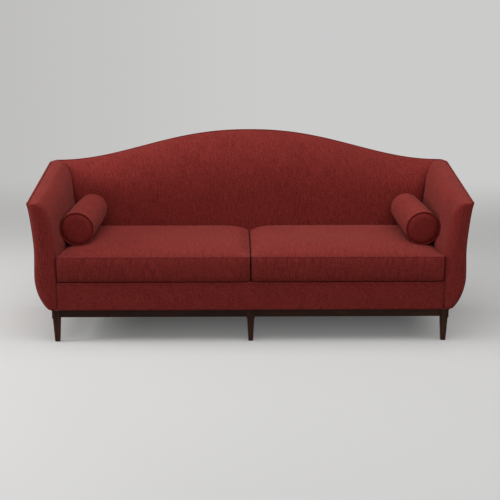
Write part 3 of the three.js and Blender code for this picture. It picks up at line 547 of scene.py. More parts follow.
for value, socket in (
        (mixed(chenille_group, scaled(chenille_group, shaded, -0.9, 0.9),
               start.outputs["Dark"], start.outputs["Light"]), "Color"),
        (scaled(chenille_group, slubs, 0.3, 0.7, 0.78, 0.96), "Roughness"), (relief, "Height")):
    chenille_group.links.new(value, end.inputs[socket])

cover_dark, cover_light = (0.089, 0.0072, 0.0060), (0.239, 0.0270, 0.0218)


def own_place(tree):
    """The cloth's own UV map, in metres across its yarns and along them."""
    return node(tree, "UVMap", uv_map="cloth").outputs["UV"]


def chenille(name, turned=False, shade=0.0, depth=0.0005):
    """Cut chenille in the cover's dark red, with its yarns up the cloth, or across it where it
    is turned. A shade above 0 makes it lighter, as painted light, and one below 0 darker, as
    painted shade, and the painted-shade attribute darkens the folds with painted shade."""
    material, tree = new_material(name)
    place = own_place(tree)
    if turned:
        place = node(tree, "Mapping", {
            "Vector": place, "Rotation": (0, 0, math.pi / 2)}).outputs["Vector"]
    seam = node(tree, "Attribute", attribute_name="seam").outputs["Fac"]
    cloth = node(tree, "Group", node_tree=chenille_group)
    tree.links.new(place, cloth.inputs["Place"])
    tree.links.new(calculated(tree, "ADD", calculated(tree, "MULTIPLY", seam, -0.75), shade),
                   cloth.inputs["Shade"])
    for key, value in (("Dark", cover_dark), ("Light", cover_light)):
        cloth.inputs[key].default_value = (*value, 1)
    close_material(
        tree, Base_Color=cloth.outputs["Color"], Roughness=cloth.outputs["Roughness"],
        Normal=bumped(tree, cloth.outputs["Height"], 0.55, depth), Specular_IOR_Level=0.12,
        Sheen_Weight=0.08, Sheen_Roughness=0.5, Sheen_Tint=(1.0, 0.45, 0.38, 1))
    return material


def read(items, name, width=1, kind=np.float32):
    """One property of every item of a mesh, as an array with a row of this width for each."""
    flat = np.zeros(len(items) * width, kind)
    items.foreach_get(name, flat)
    return flat.reshape(-1, width) if width > 1 else flat


cover_cloth = chenille("cover_chenille")
deck_cloth, tree = new_material("decking_cloth")
threads = cloth_noise(tree, own_place(tree), 0.0009, 0.0009, 2.0)
wear = cloth_noise(tree, own_place(tree), 0.12, 0.12, 3.0)
shade = scaled(tree, calculated(tree, "ADD", threads, wear), 0.6, 1.4)
close_material(
    tree, Base_Color=mixed(tree, shade, (0.060, 0.020, 0.018), (0.125, 0.045, 0.040)),
    Roughness=0.9, Normal=bumped(tree, threads, 0.4, 0.0003))

deck_low, deck_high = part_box("seat_deck")
deck_ease, end_ease, dimple, cover_strip = 0.008, 0.012, 0.0025, 0.13
end_shrink = np.array([0.012, 0.30])
section = eased_section((deck_low.y, deck_low.z), (deck_high.y, deck_high.z), deck_ease)
run = np.linspace(deck_low.x, deck_high.x, 97)
inset = np.clip(end_ease - np.minimum(run - run[0], run[-1] - run), 0, end_ease) / end_ease
rings = np.zeros((len(run), len(section), 3))
rings[..., 0] = run[:, None]
middle = section.mean(0)
rings[..., 1:] = middle + (section - middle)[None] * (
    1 - end_shrink * (1 - np.sqrt(1 - inset ** 2))[:, None, None])
top_share = (rings[..., 2] - deck_low.z) / (deck_high.z - deck_low.z)
rings[..., 2] -= top_share * dimple * (1 + unevenness(rings[..., 0], rings[..., 1], 3))
deck = carried("decked_seat", rings)
deck.data.materials.append(deck_cloth)
deck.data.materials.append(cover_cloth)
covered = read(deck.data.polygons, "center", 3)[:, 1] < seat_front + cover_strip
deck.data.polygons.foreach_set("material_index", covered.astype(np.int32))
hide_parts("seat_deck")
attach(deck, "sofa_body")

# Dust cover
# Black spunbonded cloth, pulled tight under the seat and stapled to the frame all round.
spunbond, tree = new_material("black_spunbond")
fibres = cloth_noise(tree, own_place(tree), 0.0008, 0.0030, 3.0, 0.8)
dimples = node(tree, "TexVoronoi", {
    "Vector": node(tree, "Mapping", {
        "Vector": own_place(tree), "Scale": (700, 700, 1)}).outputs["Vector"]}, feature="F1")
close_material(
    tree, Base_Color=mixed(tree, scaled(tree, fibres, 0.3, 0.7), (0.010, 0.010, 0.010),
                           (0.028, 0.027, 0.026)),
    Roughness=0.82, Normal=bumped(tree, dimples.outputs["Distance"], 0.4, 0.0003))
cover_low, cover_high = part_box("dust_cover")
tight_edge, sag = 0.06, 0.002
across = np.linspace(cover_high.x, cover_low.x, 121)
along = np.linspace(cover_low.y, cover_high.y, 41)
grid = np.zeros((len(along), len(across), 3))
grid[..., 0], grid[..., 1] = across[None], along[:, None]
edge = np.minimum(cover_high.x - np.abs(grid[..., 0]),
                  np.minimum(grid[..., 1] - cover_low.y, cover_high.y - grid[..., 1]))
slack = np.clip(edge / tight_edge, 0, 1)
grid[..., 2] = cover_low.z - sag * slack * (1 + unevenness(grid[..., 0], grid[..., 1], 5))
dust_sheet = surface("dust_sheet", grid)
dust_sheet.data.materials.append(spunbond)
thick = dust_sheet.modifiers.new("cloth thickness", "SOLIDIFY")
thick.thickness = 0.0012
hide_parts("dust_cover")
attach(dust_sheet, "sofa_body")

# Front border
# A padded strip of the cover in front of the deck. It is pulled back at its foot and stapled
# above the base rail.
border_low, border_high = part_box("front_border")
foot_turn = np.linspace(0, 1, 9)
head_turn = np.linspace(0, math.pi / 2, 7)
border_face, border_rear, border_fold = seat_front - border_crown, border_high.y, 0.031
profile = np.concatenate([
    np.stack([seat_front + border_fold - 0.034 * foot_turn,
              border_low.z + 0.002 + 0.005 * foot_turn + 0.004 * foot_turn ** 4], -1),
    np.stack([np.full(16, border_face), np.linspace(0.181, border_high.z - 0.012, 16)], -1),
    np.stack([border_face + 0.010 * (1 - np.cos(head_turn)),
              border_high.z - 0.010 + 0.0095 * np.sin(head_turn)], -1),
    [[border_rear, border_high.z - 0.0005], [border_rear, border_low.z + 0.03],
     [border_rear + 0.010, border_low.z + 0.018],
     [seat_front + border_fold, border_low.z + 0.008]],
])
run = np.linspace(border_low.x, border_high.x, 193)
rings = np.zeros((len(run), len(profile), 3))
rings[..., 0] = run[:, None]
rings[..., 1:] = profile[None]
near_end = np.clip(1 - np.minimum(run - run[0], run[-1] - run) / 0.010, 0, 1)
rounding = (1 - np.sqrt(1 - near_end ** 2))[:, None]
front_side = np.clip((border_rear - rings[..., 1]) / (border_rear - border_face), 0, 1)
rings[..., 1] += 0.006 * rounding * front_side
rings[..., 1] += 0.0008 * front_side * (1 - unevenness(rings[..., 0], rings[..., 2], 7))
below_top = border_high.z - rings[..., 2]
# Painted shadow: the border is darkened over its top 22 mm, where the cushions overhang it.
painted_cushion_shadow = 1.2 * np.clip(1 - below_top / 0.022, 0, 1) ** 1.2
border = carried("padded_border", rings, seam=painted_cushion_shadow)
border.data.materials.append(chenille("border_chenille", turned=True))
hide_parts("front_border")
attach(border, "sofa_body")

# Bolsters
# Round feather-filled bolsters lie along the arms. Each has a crowned cap in front, sewn in with
# a welt, and a soft rounded rear end.
bolster_radius, bolster_crown, rear_round = 0.0870, 0.009, 0.034
cap_welt_radius, bolster_lump = 0.0034, 0.0012
bolster_axis = {}
# Painted light: the caps and their welt rings are in a lighter copy of the cover cloth, where the
# front light reaches them.
cap_cloth_painted_light = chenille("cap_chenille_painted_light", shade=0.36)


def lay_flat(piece, faces, origin, across, upward):
    """Lays the UV map of these faces flat, measured from an origin along two directions."""
    mesh = piece.data
    chosen = np.repeat(faces, read(mesh.polygons, "loop_total", kind=np.int32))
    corner = read(mesh.loops, "vertex_index", kind=np.int32)[chosen]
    off = read(mesh.vertices, "co", 3)[corner] - origin
    layout = read(mesh.uv_layers["cloth"].data, "uv", 2)
    layout[chosen] = np.stack([off @ across, off @ upward], -1)
    mesh.uv_layers["cloth"].data.foreach_set("uv", layout.ravel())


def filled(piece, sewn, most, pressure=4.0, spare=0.012, frames=20):
    """Blows a sewn cover out from inside with Blender's cloth, without gravity, for some frames
    from its own shape, with this spare share of cloth. The sewn points stay. A point's whole
    move m is taken in as m / (1 + |m| / most), so that it stays under most."""
    scene, mesh = bpy.context.scene, piece.data
    before = read(mesh.vertices, "co", 3)
    pins = piece.vertex_groups.new(name="sewn")
    pins.add(np.flatnonzero(sewn).tolist(), 1.0, "REPLACE")
    cover = piece.modifiers.new("filled cover", "CLOTH")
    cover.settings.quality = 2
    cover.settings.use_pressure = True
    cover.settings.uniform_pressure_force = pressure
    cover.settings.shrink_min = -spare
    cover.settings.vertex_group_mass = "sewn"
    cover.settings.effector_weights.gravity = 0
    cover.collision_settings.use_collision = False
    cover.point_cache.frame_start, cover.point_cache.frame_end = 1, frames
    for step in range(frames):
        scene.frame_set(step + 1)
    blown = piece.evaluated_get(bpy.context.evaluated_depsgraph_get())
    move = read(blown.data.vertices, "co", 3) - before
    piece.modifiers.remove(cover)
    piece.vertex_groups.remove(pins)
    scene.frame_set(1)
    move /= 1 + np.linalg.norm(move, axis=1, keepdims=True) / most
    mesh.vertices.foreach_set("co", (before + move).ravel())
    mesh.update()


def round_way(turn, across, upward):
    """Unit vectors at these angles, from one direction towards a second one square to it."""
    return across * np.cos(turn)[..., None] + upward * np.sin(turn)[..., None]


for side, way in (("left", -1), ("right", 1)):
    points = read(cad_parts[f"bolster_{side}"].data.vertices, "co", 3).astype(float)
    low, high = points.min(0), points.max(0)
    rings = points[points[:, 1] < low[1] + 0.02], points[points[:, 1] > high[1] - 0.02]
    first, last = [(ring.min(0) + ring.max(0)) / 2 for ring in rings]
    first[1], last[1] = low[1] + bolster_crown, high[1] - bolster_crown
    # Its front end lies further out than in the CAD, and its rear end further in and higher.
    first, last = first + [0.0125 * way, 0, 0.001], last + [-0.012 * way, 0, 0.026]
    bolster_axis[side] = (first, last)
    ahead = (last - first) / np.linalg.norm(last - first)
    length = np.linalg.norm(last - first)
    side_way = np.cross(ahead, [0, 0, 1.0])
    side_way /= np.linalg.norm(side_way)
    up = np.cross(side_way, ahead)
    cap_turn = np.concatenate([np.linspace(0, 0.9, 14)[1:], np.linspace(0.9, 1, 6)[1:]])
    rear_turn = np.linspace(0, math.pi / 2, 12)[1:]
    straight = length - rear_round
    body = np.linspace(0.006, straight, 49)
    along = np.concatenate([
        -bolster_crown * (1 - cap_turn ** 2.4) + 0.0025 * cap_turn ** 16, [0.0045], body,
        straight + (rear_round + bolster_crown * 0.6) * np.sin(rear_turn)])
    radius = np.concatenate([
        (bolster_radius - 0.0055) * cap_turn, [bolster_radius - 0.0035],
        bolster_radius - 0.007 * np.linspace(0, 1, 49) ** 3,
        (bolster_radius - 0.007) * (1 - (1 - np.cos(rear_turn)) ** 1.6)])
    turn = np.linspace(0, 2 * math.pi, 97)[:-1][None] * way
    outward = round_way(turn, side_way, up)
    rings = (first + ahead * along[:, None])[:, None] + radius[:, None, None] * outward
    fullness = np.clip(np.minimum(along, length - along) / 0.05, 0, 1)[:, None]
    lump = bolster_lump * fullness * unevenness(
        along[:, None] + 0 * turn, turn * bolster_radius, 17)
    rings = rings + outward * (lump - bolster_lump * fullness)[..., None]
    # Painted shade: a thin ring on the cap just inside its welt is darkened, for the shade in the
    # groove there.
    sewn = np.clip(1 - np.abs(radius - bolster_radius + 0.0065) / 0.0035, 0, 1) * (along < 0.004)
    bolster = carried(f"stuffed_bolster_{side}", rings, seam=0.9 * sewn[:, None] + 0 * turn)
    bolster.data.materials.append(cover_cloth)
    bolster.data.materials.append(cap_cloth_painted_light)
    on_cap = (read(bolster.data.polygons, "center", 3) - first) @ ahead < 0.002
    bolster.data.polygons.foreach_set("material_index", on_cap.astype(np.int32))
    lay_flat(bolster, on_cap, first, side_way, up)
    from_first = read(bolster.data.vertices, "co", 3) - first
    reach = from_first @ ahead
    from_axis = np.linalg.norm(from_first - reach[:, None] * ahead, axis=1)
    filled(bolster, (np.abs(reach) < 0.010) & (from_axis > bolster_radius - 0.012), 0.0025)
    outward = round_way(np.linspace(0, 2 * math.pi, 121)[:-1], side_way, up)
    ring_path = first + ahead * 0.0010 + (bolster_radius - 0.0004) * outward
    around = np.linspace(0, 2 * math.pi, 10, endpoint=False)[None, :, None]
    rings = ring_path[:, None] + cap_welt_radius * (
        outward[:, None] * np.cos(around) + ahead * np.sin(around))
    cap_welt = welded(f"bolster_welt_{side}", surface(
        f"bolster_welt_{side}_skin", np.concatenate([rings, rings[:1]]), closed_across=True))
    turn_outward(cap_welt)
    cap_welt.data.materials.append(cap_cloth_painted_light)
    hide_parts(f"bolster_{side}")
    for piece in (bolster, cap_welt):
        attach(piece, f"{side}_bolster")

# Arms
# Each arm is a post and a rail, padded and covered in one wrap: up its pillowed front and its
# inner face, over a soft roll, and across the top to the welt at the outer rim.
upholstery_foot, deck_top, seat_edge = 0.1653, deck_high.z, 0.442
foot_level = upholstery_foot + 0.002
swell_height, arm_waist, front_rise, shoulder = 0.345, 0.4665, 0.713, 0.815
foot_half, waist_half, wrap_half, rim_half = 0.9853, 1.063, 1.0865, 1.088
rear_depth, back_slope = 0.722, 0.07
rear_gap, rear_level = 0.0035, 0.80


def outside_back(height):
    """Depth of the sofa's rear: a plane that leans back by 0.07 a metre."""
    return rear_depth + back_slope * (height - upholstery_foot)


def arm_top(depth):
    """Height of an arm's rim: a straight rise from the front to the rear corner."""
    return front_rise + (shoulder - front_rise) * depth / outside_back(shoulder)


def corner_drop(x, depth):
    """How far the top sinks at an arm's rounded corners: 10 mm at the rear one, and none 40 mm
    along the crest or 60 mm along the rim, by the square of the share left. At the front one
    it is 7 mm, and none 50 mm away."""
    off = rim_half - np.abs(x)
    rear = np.hypot(off / 0.040, (outside_back(shoulder) - depth) / 0.060)
    front = np.hypot(off, depth - 0.010) / 0.050
    return 0.010 * np.clip(1 - rear, 0, 1) ** 2 + 0.007 * np.clip(1 - front, 0, 1) ** 2


def arm_outer(height, top):
    """Half width of the arms outside: upright at the waist, flared above it by a power of 1.6,
    swollen by a cosine below it, and turned under along a flat power curve to the foot."""
    flare = np.clip((height - arm_waist) / (top - arm_waist), 0, 1)
    swell = np.clip((arm_waist - height) / (arm_waist - swell_height), 0, 1)
    tuck = np.clip((swell_height - height) / (swell_height - upholstery_foot), 0, 1)
    upper = waist_half + 0.0255 * flare ** 1.6 + 0.0035 * (1 - np.cos(math.pi * swell)) / 2
    lower = foot_half + 0.0812 * (1 - tuck ** 2) ** 0.72
    return np.where(height < swell_height, lower, upper)


def arm_wall(height, depth):
    """Half width between the arms, before the roll: straight up beside the deck, drawn in by a
    quarter sine towards the back, and spread by a power of 1.3 above the seat."""
    rise = np.clip((height - seat_edge) / (arm_top(depth) - seat_edge), 0, 1)
    drawn = 0.026 * np.sin(math.pi / 2 * np.clip(depth / 0.4, 0, 1))
    beside = np.clip((height - deck_top) / 0.004, 0, 1)
    return 0.9633 + beside * (0.0017 - drawn + 0.036 * rise ** 1.3)


def undercut(height, depth):
    """How far the cover's foot is pulled back to the base rail: by 34 mm over its last 14 mm, by
    a power of 1.4. It fades over 80 mm along the side."""
    turn = np.clip((foot_level + 0.014 - height) / 0.014, 0, 1)
    return 0.034 * turn ** 1.4 * np.clip(1 - depth / 0.08, 0, 1)


def nest(height, depth):
    """How far an arm's padding gives way to the bolster that is pressed against it: until it
    clears the roll by 5 mm, for its welt, blended in over 8 mm, and faded out over 60 mm in
    front of the cap."""
    first, last = bolster_axis["right"]
    share = np.clip((depth + seat_front - first[1]) / (last[1] - first[1]), 0, 1)
    axis = first[None, None] + (last - first)[None, None] * share[..., None]
    chord = np.clip(bolster_radius ** 2 - (height - axis[..., 2]) ** 2, 0, None)
    push = axis[..., 0] + np.sqrt(chord) + 0.0050 - arm_wall(height, depth)
    blend = 0.008
    mixing = np.clip(0.5 + 0.5 * push / blend, 0, 1)
    given = push * mixing + blend * mixing * (1 - mixing)
    before = np.clip(1 + (depth + seat_front - first[1]) / 0.060, 0, 1)
    return given * before ** 2 * (3 - 2 * before) * (chord > 0)


def turned_over(rise):
    """How far a superellipse of power 2.2 has turned over at a share of its rise."""
    return 1 - np.clip(1 - rise ** 2.2, 0, 1) ** (1 / 2.2)


def arm_wrap():
    """The right arm's wrap. Its columns run from the outer welt round the front and back along
    the inner face. Its rows climb each column, turn over a superellipse of power 2.2, and cross
    the top to the rim. The turn grows from 13 mm high in front to 110 mm along the side."""
    outer_turn = np.linspace(math.pi / 2, 0, 11)[:-1]
    inner_turn = np.linspace(math.pi / 2, 0, 19)[:-1]
    side = np.linspace(0, 1, 57) ** 1.15
    fronts = len(outer_turn) + len(inner_turn)
    grow = np.concatenate([np.zeros(len(outer_turn)), np.linspace(0, 1, len(inner_turn) + 1)[:-1],
                           np.ones(len(side))])
    grow = grow ** 2 * (3 - 2 * grow)
    turn_height = 0.013 + 0.097 * grow
    reach = 0.30 + 0.28 * grow
    rear = outside_back(rear_level) - rear_gap
    rim = np.concatenate([0.010 + 0.055 * (np.arange(fronts) / fronts) ** 1.4,
                          0.065 + (rear - 0.065) * side])
    top = arm_top(rim) - 0.0012
    climb = np.concatenate([np.linspace(0, 1, 61) ** 1.25, np.ones(27)])[:, None]
    bend = np.concatenate([np.zeros(61), np.linspace(0, 1, 19)[1:], np.ones(9)])[:, None]
    cross = np.concatenate([np.zeros(79), np.linspace(0, 1, 10)[1:]])[:, None]
    rise = np.sin(bend * math.pi / 2) ** (2 / 2.2)
    height = foot_level + (top - turn_height - foot_level) * climb + turn_height * rise
    outer = arm_outer(height, front_rise)
    rounding = 0.006 + 0.039 * np.clip((height - deck_top) / (arm_waist - deck_top), 0, 1)
    inner = arm_wall(height, rounding)
    forward = outer - 0.4 * (outer - inner)
    a, b = outer_turn[None], inner_turn[None]
    i, j = slice(0, len(a[0])), slice(len(a[0]), fronts)
    x, y = np.zeros(height.shape), np.zeros(height.shape)
    x[:, i] = forward[:, i] + (outer - forward)[:, i] * np.sin(a)
    y[:, i] = 0.010 - 0.018 * np.cos(a)
    x[:, j] = forward[:, j] - (forward - inner)[:, j] * np.cos(b)
    y[:, j] = rounding[:, j] - (0.008 + rounding[:, j]) * np.sin(b)
    reach_back = np.minimum(outside_back(height) - rear_gap, rear)[:, fronts:]
    y[:, fronts:] = rounding[:, fronts:] + (reach_back - rounding[:, fronts:]) * side
    x[:, fronts:] = arm_wall(height[:, fronts:], y[:, fronts:])
    over = np.where(cross > 0, reach + (1 - reach) * cross, turned_over(rise) * reach)
    height = height + 0.0022 * np.sin(math.pi * cross) * np.minimum(rim / 0.06, 1)
    x, y = x + (wrap_half - x) * over, y + (rim - y) * over
    soft = 0.0012 * unevenness(y, height, 11) * np.clip((height - 0.2) / 0.2, 0, 1) * (1 - cross)
    height = height - corner_drop(x, y) * (cross + 0.5 * rise * (1 - cross))
    nested = nest(height, y) * (1 - over)
    return np.stack([x + soft + nested, y + undercut(height, y) + seat_front, height], -1)


def mirrored(points):
    """The same grid on the other side of the sofa, its faces still outwards."""
    return points[:, ::-1] * [-1, 1, 1]


def thicken(piece, wall):
    """Gives a skin its thickness, inwards."""
    shell = piece.modifiers.new("padding", "SOLIDIFY")
    shell.thickness = wall
    shell.offset = -1


wrap = arm_wrap()[:, ::-1]
for side, points in (("right", wrap), ("left", mirrored(wrap))):
    pad = welded(f"wrapped_arm_{side}", surface(f"wrap_{side}", points))
    pad.data.materials.append(cover_cloth)
    thicken(pad, 0.008)
    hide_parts(f"arm_pad_{side}")
    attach(pad, "sofa_body")

# Outside arms
# Cover cloth pulled tight over board and a thin felt, from the front welt to the rear corner.
depth_share = np.linspace(0, 1, 61)[None]
height_share = np.linspace(0, 1, 71)[:, None]
panel_front = 0.012
rim_depth = panel_front + (outside_back(rear_level) - panel_front) * depth_share
rim_height = arm_top(rim_depth) - corner_drop(rim_half, rim_depth) - 0.003
height = upholstery_foot + (rim_height - upholstery_foot) * height_share
depth = panel_front + (outside_back(height) - 0.002 - panel_front) * depth_share
width = arm_outer(height, arm_top(depth))
panel = np.stack([width, depth + seat_front, height], -1)
for side, points in (("right", panel), ("left", mirrored(panel))):
    outside = surface(f"outside_arm_{side}_cloth", points)
    outside.data.materials.append(cover_cloth)
    thicken(outside, 0.0025)
    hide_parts(f"arm_outside_{side}")
    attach(outside, "sofa_body")

# Inside back
# One wide pad on webbing, covered in one piece. It leans back, rolls over the bandsawn top rail
# to the rear welt, and is drawn in where it is tucked behind the arms.
seat_depth, bend_level, roll_high, roll_deep = 0.638, 0.60, 0.05, 0.016
pad_half, tuck_width, tuck_draw = 1.03, 0.055, 0.014


def back_top(x):
    """Height of the camelback crest: a raised cosine, 165.5 mm high in the middle and out at
    1.045 m, made a little fuller by a power of 1.12."""
    return shoulder + 0.1655 * (
        1 + np.cos(math.pi * np.minimum(np.abs(x) / 1.045, 1) ** 1.12)) / 2


def inside_back(height, top):
    """Depth of the pad: upright, leaning by 0.01 a metre, up to the bend's level line, then
    bent back by a power of 3.1. A last roll, a quarter ellipse 50 mm high and 16 mm deep, ends
    at the rear welt."""
    upright = seat_depth + 0.01 * np.maximum(height - seat_edge, 0)
    reach = outside_back(top) - 0.0033 - roll_deep - (seat_depth + 0.01 * (top - seat_edge))
    bend = np.clip((height - bend_level) / (top - bend_level), 0, 1)
    roll = np.clip((height - top + roll_high) / roll_high, 0, 1)
    return upright + reach * bend ** 3.1 + roll_deep * (1 - np.sqrt(1 - roll ** 2))


share = np.linspace(-1, 1, 241)[None]
top = back_top(share * 1.02) - 0.001
low_part = np.linspace(0, 1, 101)[:-1, None]
turn = np.linspace(0, math.pi / 2, 13)[:, None]
foot = deck_top + 0.0006
height = np.concatenate([
    foot + (top - roll_high - foot) * low_part, top - roll_high + roll_high * np.sin(turn)], 0)
depth = inside_back(height, top)
wall = arm_wall(height, depth)
over = turned_over(np.clip((height - arm_top(depth) + 0.110) / 0.110, 0, 1))
half = np.minimum(wall + (wrap_half - wall) * 0.58 * over, pad_half)
x = share * (half - 0.0004)
inward = (half - np.abs(x)) / tuck_width
draw = tuck_draw * np.clip(1 - inward, 0, 1) ** 2
room = np.clip((top - height) / 0.05, 0, 1)
depth = depth + draw * room - 0.0012 * unevenness(x, height, 13) * room
back_pad = surface("inside_back_pad", np.stack([x, depth + seat_front, height], -1))
back_pad.data.materials.append(cover_cloth)
thicken(back_pad, 0.008)
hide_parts("inside_back")
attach(back_pad, "sofa_body")

# Outside back
# Cover cloth over webbing and board, blind-tacked along the top under the welt.
share = np.linspace(-1, 1, 161)[None]
height_share = np.linspace(0, 1, 81)[:, None]
top = (back_top(share * rim_half) - corner_drop(share * rim_half, outside_back(shoulder))
       - 0.0035)
height = upholstery_foot + (top - upholstery_foot) * height_share
x = share * (arm_outer(np.minimum(height, shoulder), shoulder) - 0.0006)
rear = np.stack([x, outside_back(height) + seat_front, height], -1)[:, ::-1]
rear_panel = surface("outside_back_cloth", rear)
rear_panel.data.materials.append(cover_cloth)
thicken(rear_panel, 0.0028)
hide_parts("outside_back")
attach(rear_panel, "sofa_body")


# Welts
# Cord sewn in the cover cloth. One runs up each arm's outer front edge and back along its rim,
# and one along the crest, between the inside and the outside back.
def tube(name, path, radius, steady, around=12):
    """A round tube along a path of points. Each ring stands across the path's own direction, and
    steady is a direction that is never along it."""
    ahead = np.gradient(path, axis=0)
    ahead /= np.linalg.norm(ahead, axis=1, keepdims=True)
    side = np.cross(ahead, steady)
    side /= np.linalg.norm(side, axis=1, keepdims=True)
    up = np.cross(side, ahead)
    turn = np.linspace(0, 2 * math.pi, around, endpoint=False)[None, :, None]
    rings = path[:, None] + radius * (side[:, None] * np.cos(turn) + up[:, None] * np.sin(turn))
    return carried(name, rings)


def even_steps(path, step):
    """The same path with its points about one step apart."""
    length = np.concatenate([[0], np.linalg.norm(np.diff(path, axis=0), axis=1).cumsum()])
    at = np.linspace(0, length[-1], int(length[-1] / step) + 1)
    return np.stack([np.interp(at, length, path[:, k]) for k in range(3)], -1)


welt_radius, welt_sunk, corner_depth = 0.004, 0.0005, 0.018
# Painted shade: the arm and back welts are in a darker copy of the cover cloth, for the shade
# along the sofa's edges.
welt_cloth_painted_shade = chenille("welt_chenille_painted_shade", shade=-0.18, depth=0.0004)
rim_run = np.linspace(outside_back(shoulder) - rear_gap - 0.008, corner_depth, 200)
bend = np.linspace(0, math.pi / 2, 10)[1:]
fall = np.linspace(arm_top(corner_depth) - 0.011, foot_level + 0.009, 200)[1:]
corner_top = arm_top(corner_depth) - welt_sunk
path = np.concatenate([
    np.stack([np.full(200, rim_half), rim_run,
              arm_top(rim_run) - corner_drop(rim_half, rim_run) - welt_sunk], -1),
    np.stack([np.full(9, rim_half), corner_depth - 0.008 * np.sin(bend),
              corner_top - 0.010 * (1 - np.cos(bend))], -1),
    np.stack([np.minimum(arm_outer(fall, front_rise) - welt_sunk, rim_half),
              0.010 + undercut(fall, 0.010), fall], -1),
])
from_corner = np.linalg.norm(path - [rim_half, 0.012, corner_top], axis=1)
path[:, 0] += 0.0025 * np.exp(-(from_corner / 0.022) ** 2)
path = even_steps(path + [0, seat_front, 0], 0.005)
for side, way in (("right", 1), ("left", -1)):
    welt = tube(f"sewn_arm_welt_{side}", path * [way, 1, 1], welt_radius,
                np.array([0.7 * way, 0.7, 0]))
    welt.data.materials.append(welt_cloth_painted_shade)
    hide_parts(f"arm_welt_{side}")
    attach(welt, "sofa_body")
crest = np.linspace(-rim_half, rim_half, 600)
crest_height = back_top(crest) - corner_drop(crest, outside_back(shoulder)) - welt_sunk
path = even_steps(np.stack([
    crest, outside_back(crest_height) - rear_gap + seat_front, crest_height], -1), 0.005)
welt = tube("sewn_back_welt", path, welt_radius, np.array([0, 1.0, 0]))
welt.data.materials.append(welt_cloth_painted_shade)
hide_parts("back_welt")
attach(welt, "sofa_body")

# Seat cushions
# Two loose boxed cushions of foam in a feather wrap. The top and the bottom are sewn to an
# upright boxing strip, and the crown is pressed down where a bolster lies on it.
cushion_foot, cushion_crown, half_cushion_depth = 0.3172, 0.036, 0.3163
zip_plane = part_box("cushion_zip_left")[0].y


def cushion_plan(u, v):
    """The right cushion's outline along its seams and what lies in it, for u across and v from the
    front to the rear, both from -1 to 1. The corners are cut by 6 mm with a power of 30, and the
    outer side follows the arm."""
    cut = 0.006 * np.abs(u * v) ** 30
    depth = half_cushion_depth * (v + 1) - np.sign(v) * cut
    outer = arm_wall(swell_height, depth) - 0.0030
    inner = 0.0024
    x = inner + (outer - inner) * (u + 1) / 2 - np.sign(u) * cut
    return x, depth


def bolster_line(depth):
    """Where the right bolster's axis lies at a depth: the share of its length, and x and z."""
    first, last = bolster_axis["right"]
    share = (depth + seat_front - first[1]) / (last[1] - first[1])
    return share, first[0] + (last[0] - first[0]) * share, first[2] + (last[2] - first[2]) * share


def cushion_top(u, v, x, depth):
    """Height of the top: a full crown over the seams, that falls off steeply at the sides and
    the rear and gently in front, held just under the bolster by a smooth minimum."""
    front = np.clip(-v, 0, 1) ** 3
    rear = np.clip(v, 0, 1) ** 20
    arm_power = 4 + 7 * np.clip((v + 0.45) / 0.75, 0, 1)
    across = np.abs(u) ** np.where(u > 0, arm_power, 11)
    crown = cushion_crown * (1 - across) * (1 - front - rear)
    edge = seat_edge + 0.008 * np.clip(v, 0, 1) ** 3
    height = edge + crown * (1 - 0.05 * u ** 2)
    share, axis_x, axis_z = bolster_line(depth)
    off = np.clip((x - axis_x) / bolster_radius, -1, 1)
    ahead = np.clip(-share - 0.02, 0, None) * 0.438
    under = axis_z - bolster_radius * np.sqrt(1 - off ** 2) - 0.0016 + 6 * ahead ** 1.5
    blend = 0.010
    mixing = np.clip(0.5 + 0.5 * (under - height) / blend, 0, 1)
    low = under * (1 - mixing) + height * mixing - blend * mixing * (1 - mixing)
    return np.maximum(np.minimum(low, height), np.minimum(edge, height))


def closer_at_ends(count):
    """Steps from -1 to 1 that stand closer at both ends: a sine over 0.86 of its rise."""
    return np.sin(np.linspace(-1, 1, count) * math.pi / 2 * 0.86) / math.sin(math.pi / 2 * 0.86)


